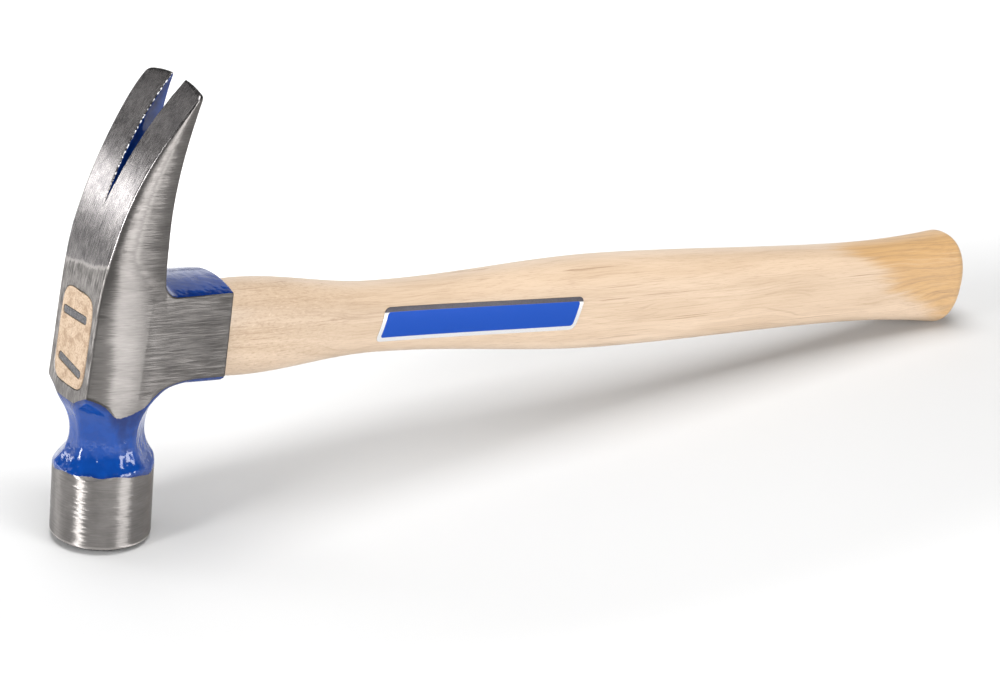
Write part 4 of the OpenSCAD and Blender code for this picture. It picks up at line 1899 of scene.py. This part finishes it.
    def dress(self) -> list[bpy.types.Object]:
        """Finished wedges in place of their CAD nodes.

        Returns:
            The wooden wedge and both steel wedges.
        """
        wood = cut_away(mesh_of(loft(self.wood()), self.sharp), self.steel_cuts(), self.sharp)
        pieces = [add_piece("wooden_wedge", wood, Hickory("wedge_wood"), "wood_wedge")]
        for name, upper in (("upper", True), ("lower", False)):
            bar = mesh_of(loft(self.steel(upper)), self.sharp)
            finish = RolledSteel("rolled_steel_" + name)
            node = "steel_wedge_" + name
            pieces.append(add_piece(node + "_bar", bar, finish, node))
        return pieces


@dataclass(frozen=True)
class Handle:
    """Turned and sanded hickory handle with its tenon.

    Lengths are in millimetres, and each pair is a height and a width.

    Attributes:
        eye: The eye that the tenon fills.
        wedges: The wedges in the tenon.
        overall: Length from the end face to the butt's end.
        swell: Size at the swell beside the collar.
        throat: Size at the slim throat.
        belly: Size at the belly.
        grip: Size at the slimmest place of the grip.
        butt: Size at the butt's rim.
        swell_at: Distance of the swell from the collar.
        throat_at: Distance of the throat from the collar.
        belly_at: Distance of the belly from the butt's end.
        grip_at: Distance of the grip from the butt's end.
        butt_dome: Length of the butt's dome.
        dome_power: Power of the dome's curve.
        square: Power of the wood's oval.
        shoulder_share: Size at the collar as a share of the swell.
        shoulder_soft: Radius of the edge at the collar.
        tenon_edge: Chamfer of the tenon's end.
        wood_fit: Clearance in the eye.
        collar_lean: Lean of the collar's face in degrees.
        sharp: Angle between faces above which an edge stays sharp.
        ring_points: Points in a ring.
        stations: Rings along the shaft.
        dome_rings: Rings of the dome.
    """

    eye: Eye = Eye()
    wedges: Wedges = Wedges()
    overall: float = 406.0
    swell: tuple[float, float] = (34.4, 25.0)
    throat: tuple[float, float] = (25.4, 21.4)
    belly: tuple[float, float] = (35.4, 26.4)
    grip: tuple[float, float] = (31.2, 24.4)
    butt: tuple[float, float] = (37.0, 29.0)
    swell_at: float = 11.0
    throat_at: float = 68.0
    belly_at: float = 178.0
    grip_at: float = 60.0
    butt_dome: float = 7.0
    dome_power: float = 2.4
    square: float = 2.3
    shoulder_share: float = 0.96
    shoulder_soft: float = 0.8
    tenon_edge: float = 0.25
    wood_fit: float = 0.06
    collar_lean: float = 3.0
    sharp: float = 40.0
    ring_points: int = 128
    stations: int = 240
    dome_rings: int = 24

    @property
    def swell_x(self) -> float:
        """Place of the swell beside the collar."""
        return self.eye.length + self.swell_at

    @property
    def rim_x(self) -> float:
        """Place of the butt's rim, where its dome starts."""
        return self.overall - self.butt_dome

    def half_size(self, x: float, side: int) -> float:
        """Half height or half width of the wood.

        Args:
            x: Place along the handle.
            side: 0 for the height, 1 for the width.

        Returns:
            The half size.
        """
        start = self.eye.length + self.wood_fit
        throat_x = self.eye.length + self.throat_at
        belly_x = self.overall - self.belly_at
        grip_x = self.overall - self.grip_at
        if x < self.swell_x:
            rise = math.sin(math.pi / 2 * (x - start) / (self.swell_x - start))
            return self.swell[side] * mix(self.shoulder_share, 1, rise) / 2
        spans = (
            (self.swell_x, throat_x, self.swell, self.throat),
            (throat_x, belly_x, self.throat, self.belly),
            (belly_x, grip_x, self.belly, self.grip),
        )
        for low, high, first, last in spans:
            if x < high:
                return float(mix(first[side], last[side], ease((x - low) / (high - low)))) / 2
        return mix(self.grip[side], self.butt[side], ((x - grip_x) / (self.rim_x - grip_x)) ** 2) / 2

    def side_y(self, x: float, z: float) -> float:
        """Half width of the wood at a height above its axis."""
        share = min(1.0, abs(z) / self.half_size(x, 0)) ** self.square
        return self.half_size(x, 1) * (1 - share) ** (1 / self.square)

    def ring(self, x: float, half_w: float, half_h: float, square: float, slope: float = 0.0) -> Array:
        """Ring across the handle that leans by a slope."""
        y, z = oval(half_w, half_h, square, self.ring_points)
        return np.column_stack((x - slope * z, y, z))

    def rings(self) -> Array:
        """Rings of the tenon, the shaft and the domed butt.

        Returns:
            The rings in order along the handle.
        """
        lean = math.tan(math.radians(self.collar_lean))
        rings = []
        length = self.eye.length
        tenon = ((0.0, self.tenon_edge), (self.tenon_edge, 0.0), (length / 2, 0.0), (length, 0.0))
        for x, inset in tenon:
            half_w = self.eye.half_w(x) - self.wood_fit - inset
            half_h = self.eye.half_h(x) - self.wood_fit - inset
            slope = lean if x == length else 0.0
            rings.append(self.ring(x, half_w, half_h, self.eye.square, slope))
        start = length + self.wood_fit
        for angle in np.radians((0, 25, 50, 70)):
            x = start + self.shoulder_soft * (1 - math.cos(angle))
            cut = self.shoulder_soft * (1 - math.sin(angle))
            half_w, half_h = self.half_size(x, 1) - cut, self.half_size(x, 0) - cut
            rings.append(self.ring(x, half_w, half_h, self.square, lean))
        for x in np.linspace(start + self.shoulder_soft, self.rim_x, self.stations):
            slope = lean * (1 - float(ease((x - start) / self.swell_at)))
            rings.append(self.ring(x, self.half_size(x, 1), self.half_size(x, 0), self.square, slope))
        for k in range(1, self.dome_rings):
            way = math.sin(math.pi / 2 * k / self.dome_rings)
            share = (1 - way ** self.dome_power) ** (1 / self.dome_power) / 2
            x = self.rim_x + self.butt_dome * way
            rings.append(self.ring(x, self.butt[1] * share, self.butt[0] * share, self.square))
        return np.stack(rings)

    def build(self) -> bpy.types.Mesh:
        """Handle with the wedges' cuts in its tenon.

        Returns:
            The mesh, in place.
        """
        kerf = self.wedges.wood(self.wood_fit, -CUT_PAST, CUT_PAST)
        return cut_away(mesh_of(loft(self.rings())), [*self.wedges.steel_cuts(), kerf], self.sharp)

    def dress(self) -> bpy.types.Object:
        """Finished handle in place of its CAD node."""
        return add_piece("hickory_handle", self.build(), Hickory("hickory"), "handle")


@dataclass(frozen=True)
class Label:
    """Foil label on the near side of the handle.

    Its lengths are in millimetres.

    Attributes:
        handle: The handle under it.
        length: Its length.
        height: Its height.
        middle_at: Distance of its middle from the collar.
        middle_up: Height of its middle above the handle's axis.
        slope: Lean of its ends in degrees.
        corner: Radius of its corners.
        thick: Its thickness.
        fit: Gap between it and the wood.
        border: Width of its bare border.
        bend: How much closer together its columns stand at the ends, from 0 to 1.
        columns: Grid steps along it.
        rows: Grid steps up it.
        sharp: Angle between faces above which an edge stays sharp.
    """

    handle: Handle
    length: float = 88.0
    height: float = 12.6
    middle_at: float = 109.0
    middle_up: float = 0.6
    slope: float = 12.0
    corner: float = 2.4
    thick: float = 0.3
    fit: float = 0.05
    border: float = 1.6
    bend: float = 0.35
    columns: int = 150
    rows: int = 20
    sharp: float = 50.0

    def column_places(self) -> Array:
        """Places along the label, closer together at its round corners."""
        share = np.linspace(-1, 1, self.columns + 1)
        return 0.5 * np.sin(share * np.pi / 2) * self.bend + 0.5 * share * (1 - self.bend)

    def grid(self, lift: float) -> tuple[Array, Array]:
        """Points over the wood at one height above it.

        Args:
            lift: Height above the wood.

        Returns:
            Points, and their flat places on the label in millimetres, as (column, row, values).
        """
        points, flat = [], []
        slope = math.tan(math.radians(self.slope))
        for u in self.column_places():
            over = max(0.0, self.corner - (0.5 - abs(u)) * self.length)
            inset = self.corner - math.sqrt(max(0.0, self.corner ** 2 - over ** 2))
            for v in np.linspace(-0.5, 0.5, self.rows + 1):
                up = v * (self.height - 2 * inset)
                z = self.middle_up + up
                x = self.handle.eye.length + self.middle_at + u * self.length + up * slope
                points.append((x, -self.handle.side_y(x, z) - lift, z))
                flat.append((u * self.length, up))
        size = (self.columns + 1, self.rows + 1)
        return np.array(points).reshape(*size, 3), np.array(flat).reshape(*size, 2)

    def build(self) -> bpy.types.Mesh:
        """Closed thin sheet with its flat places as a UV map.

        Returns:
            The mesh, in place.
        """
        front, flat = self.grid(self.fit + self.thick)
        back, _ = self.grid(self.fit)
        wide, high = front.shape[:2]
        count = wide * high
        number = np.arange(count).reshape(wide, high)
        a, b, c, d = number[:-1, :-1], number[1:, :-1], number[1:, 1:], number[:-1, 1:]
        faces = np.stack((a, b, c, d), -1).reshape(-1, 4).tolist()
        faces += (np.stack((d, c, b, a), -1).reshape(-1, 4) + count).tolist()
        rim = [*number[:, 0], *number[-1, 1:], *number[-2::-1, -1], *number[0, -2:0:-1]]
        for first, last in zip(rim, rim[1:] + rim[:1]):
            faces.append([int(first), int(first) + count, int(last) + count, int(last)])
        points = np.concatenate((front.reshape(-1, 3), back.reshape(-1, 3)))
        mesh = mesh_of((points, faces), self.sharp)
        places = np.concatenate((flat.reshape(-1, 2), flat.reshape(-1, 2)))
        corners = np.zeros(len(mesh.loops), dtype=int)
        mesh.loops.foreach_get("vertex_index", corners)
        layer = mesh.uv_layers.new(name="label")
        layer.uv.foreach_set("vector", places[corners].astype(np.float32).ravel())
        return mesh

    def dress(self) -> bpy.types.Object:
        """Finished label in place of its CAD node."""
        finish = LabelFoil("label_foil", self.length / 2 - self.border, self.height / 2 - self.border)
        return add_piece("foil_label", self.build(), finish, "label")


@dataclass(frozen=True)
class Softbox:
    """Area light that looks at the head.

    Attributes:
        name: Its name.
        azimuth: Its bearing in degrees, from the front towards the handle's side.
        elevation: Its height in degrees.
        distance: Its distance in metres.
        width: Its width in metres.
        height: Its height in metres.
        power: Its power in watts.
    """

    name: str
    azimuth: float
    elevation: float
    distance: float
    width: float
    height: float
    power: float

    def build(self, target: Array) -> bpy.types.Object:
        """Place the light.

        Args:
            target: Point that it looks at, in metres.

        Returns:
            The light's object.
        """
        lamp = bpy.data.lights.new(self.name, "AREA")
        lamp.shape = "RECTANGLE"
        lamp.size, lamp.size_y = self.width, self.height
        lamp.energy = self.power
        a, e = math.radians(self.azimuth), math.radians(self.elevation)
        away = np.array((math.sin(a) * math.cos(e), -math.cos(a) * math.cos(e), math.sin(e)))
        side = np.array((math.cos(a), math.sin(a), 0.0))
        up = np.cross(away, side)
        made = put(self.name, lamp)
        turn = Matrix(np.column_stack((side, up, away)).tolist()).to_4x4()
        turn.translation = target + away * self.distance
        made.matrix_world = turn
        made.visible_camera = False
        return made


@dataclass(frozen=True)
class Studio:
    """Pale floor, soft lights and the camera.

    Attributes:
        camera_at: Camera's place in the hammer's own frame, in millimetres.
        azimuth: Camera's bearing from the front towards the head's end, in degrees.
        elevation: Camera's height over the handle's axis, in degrees.
        roll: Camera's roll in degrees.
        lens: Focal length in millimetres.
        sensor: Width of the camera's sensor in millimetres.
        floor_size: Side of the floor in metres.
        horizon: Brightness of the room near the horizon.
        zenith: Brightness of the room overhead.
        softboxes: The lights.
    """

    camera_at: tuple[float, float, float] = (-596.6, -929.6, 391.5)
    azimuth: float = 39.983
    elevation: float = 18.564
    roll: float = 10.302
    lens: float = 126.0
    sensor: float = 36.0
    floor_size: float = 8.0
    horizon: float = 0.75
    zenith: float = 0.04
    softboxes: tuple[Softbox, ...] = (
        Softbox("key_over", 0.0, 88.0, 1.8, 1.0, 1.8, 49.0),
        Softbox("strip_left", -80.0, 14.0, 1.2, 0.25, 0.56, 12.8),
        Softbox("strip_right", 18.0, 14.0, 1.2, 0.5, 0.56, 9.8),
        Softbox("claw_glow", -141.0, 11.0, 1.3, 0.46, 0.17, 2.2),
        Softbox("claw_fill", -141.0, 37.0, 1.3, 0.46, 0.5, 1.1),
        Softbox("collar_glow", 138.0, 20.0, 1.3, 0.9, 0.8, 2.0),
    )

    def camera(self) -> bpy.types.Object:
        """Camera at the photograph's angle.

        Returns:
            The camera's object.
        """
        a, e, r = (math.radians(v) for v in (self.azimuth, self.elevation, self.roll))
        back = np.array((-math.sin(a) * math.cos(e), -math.cos(a) * math.cos(e), math.sin(e)))
        level = np.array((math.cos(a), -math.sin(a), 0.0))
        upright = np.cross(back, level)
        right = math.cos(r) * level + math.sin(r) * upright
        up = math.cos(r) * upright - math.sin(r) * level
        lens = bpy.data.cameras.new("camera")
        lens.lens = self.lens
        lens.sensor_fit = "HORIZONTAL"
        lens.sensor_width = self.sensor
        lens.clip_start = 0.05
        made = put("camera", lens)
        axes = POSE.turn(np.stack((right, up, back)))
        turn = Matrix(axes.T.tolist()).to_4x4()
        turn.translation = POSE.place(np.array(self.camera_at))[0]
        made.matrix_world = turn
        bpy.context.scene.camera = made
        return made

    def floor(self) -> bpy.types.Object:
        """Pale floor under the hammer.

        Returns:
            The floor's object.
        """
        half = self.floor_size / 2
        mesh = bpy.data.meshes.new("floor")
        corners = [(-half, -half, 0), (half, -half, 0), (half, half, 0), (-half, half, 0)]
        mesh.from_pydata(corners, [], [(0, 1, 2, 3)])
        mesh.materials.append(FloorPaper("floor_paper").material())
        made = put("floor", mesh)
        return made

    def room(self) -> None:
        """Soft grey room that is lighter near the horizon."""
        world = bpy.data.worlds.new("room")
        bpy.context.scene.world = world
        world.use_nodes = True
        graph = Graph(world.node_tree)
        toward = graph.value("ShaderNodeTexCoord", {}, {}, "Generated")
        _, _, height = graph.split(toward)
        glow = height.rise(0.45, 0.1) * (self.horizon - self.zenith) + self.zenith
        shade = graph.color(glow, (0.0, 0.0, 0.0), (1.0, 1.0, 1.0))
        surface = graph.value("ShaderNodeBackground", {}, {"Color": shade, "Strength": 1.0}, "Background")
        graph.node("ShaderNodeOutputWorld", {}, {"Surface": surface})

    def build(self) -> None:
        """Set up the room, the floor, the lights and the camera."""
        bpy.context.scene.view_settings.view_transform = "Standard"
        self.room()
        self.floor()
        low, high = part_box("head")
        target = (np.array(low) + np.array(high)) / 2
        for softbox in self.softboxes:
            softbox.build(target)
        self.camera()


def main() -> None:
    """Build the pieces in order."""
    logging.basicConfig(level=logging.INFO, format="%(name)s: %(message)s")
    Studio().build()
    eye = Eye()
    head = Head(eye)
    head.dress()
    MilledFace(head).dress()
    wedges = Wedges(eye)
    wedges.dress()
    handle = Handle(eye, wedges)
    handle.dress()
    Label(handle).dress()


if __name__ == "__main__":
    main()
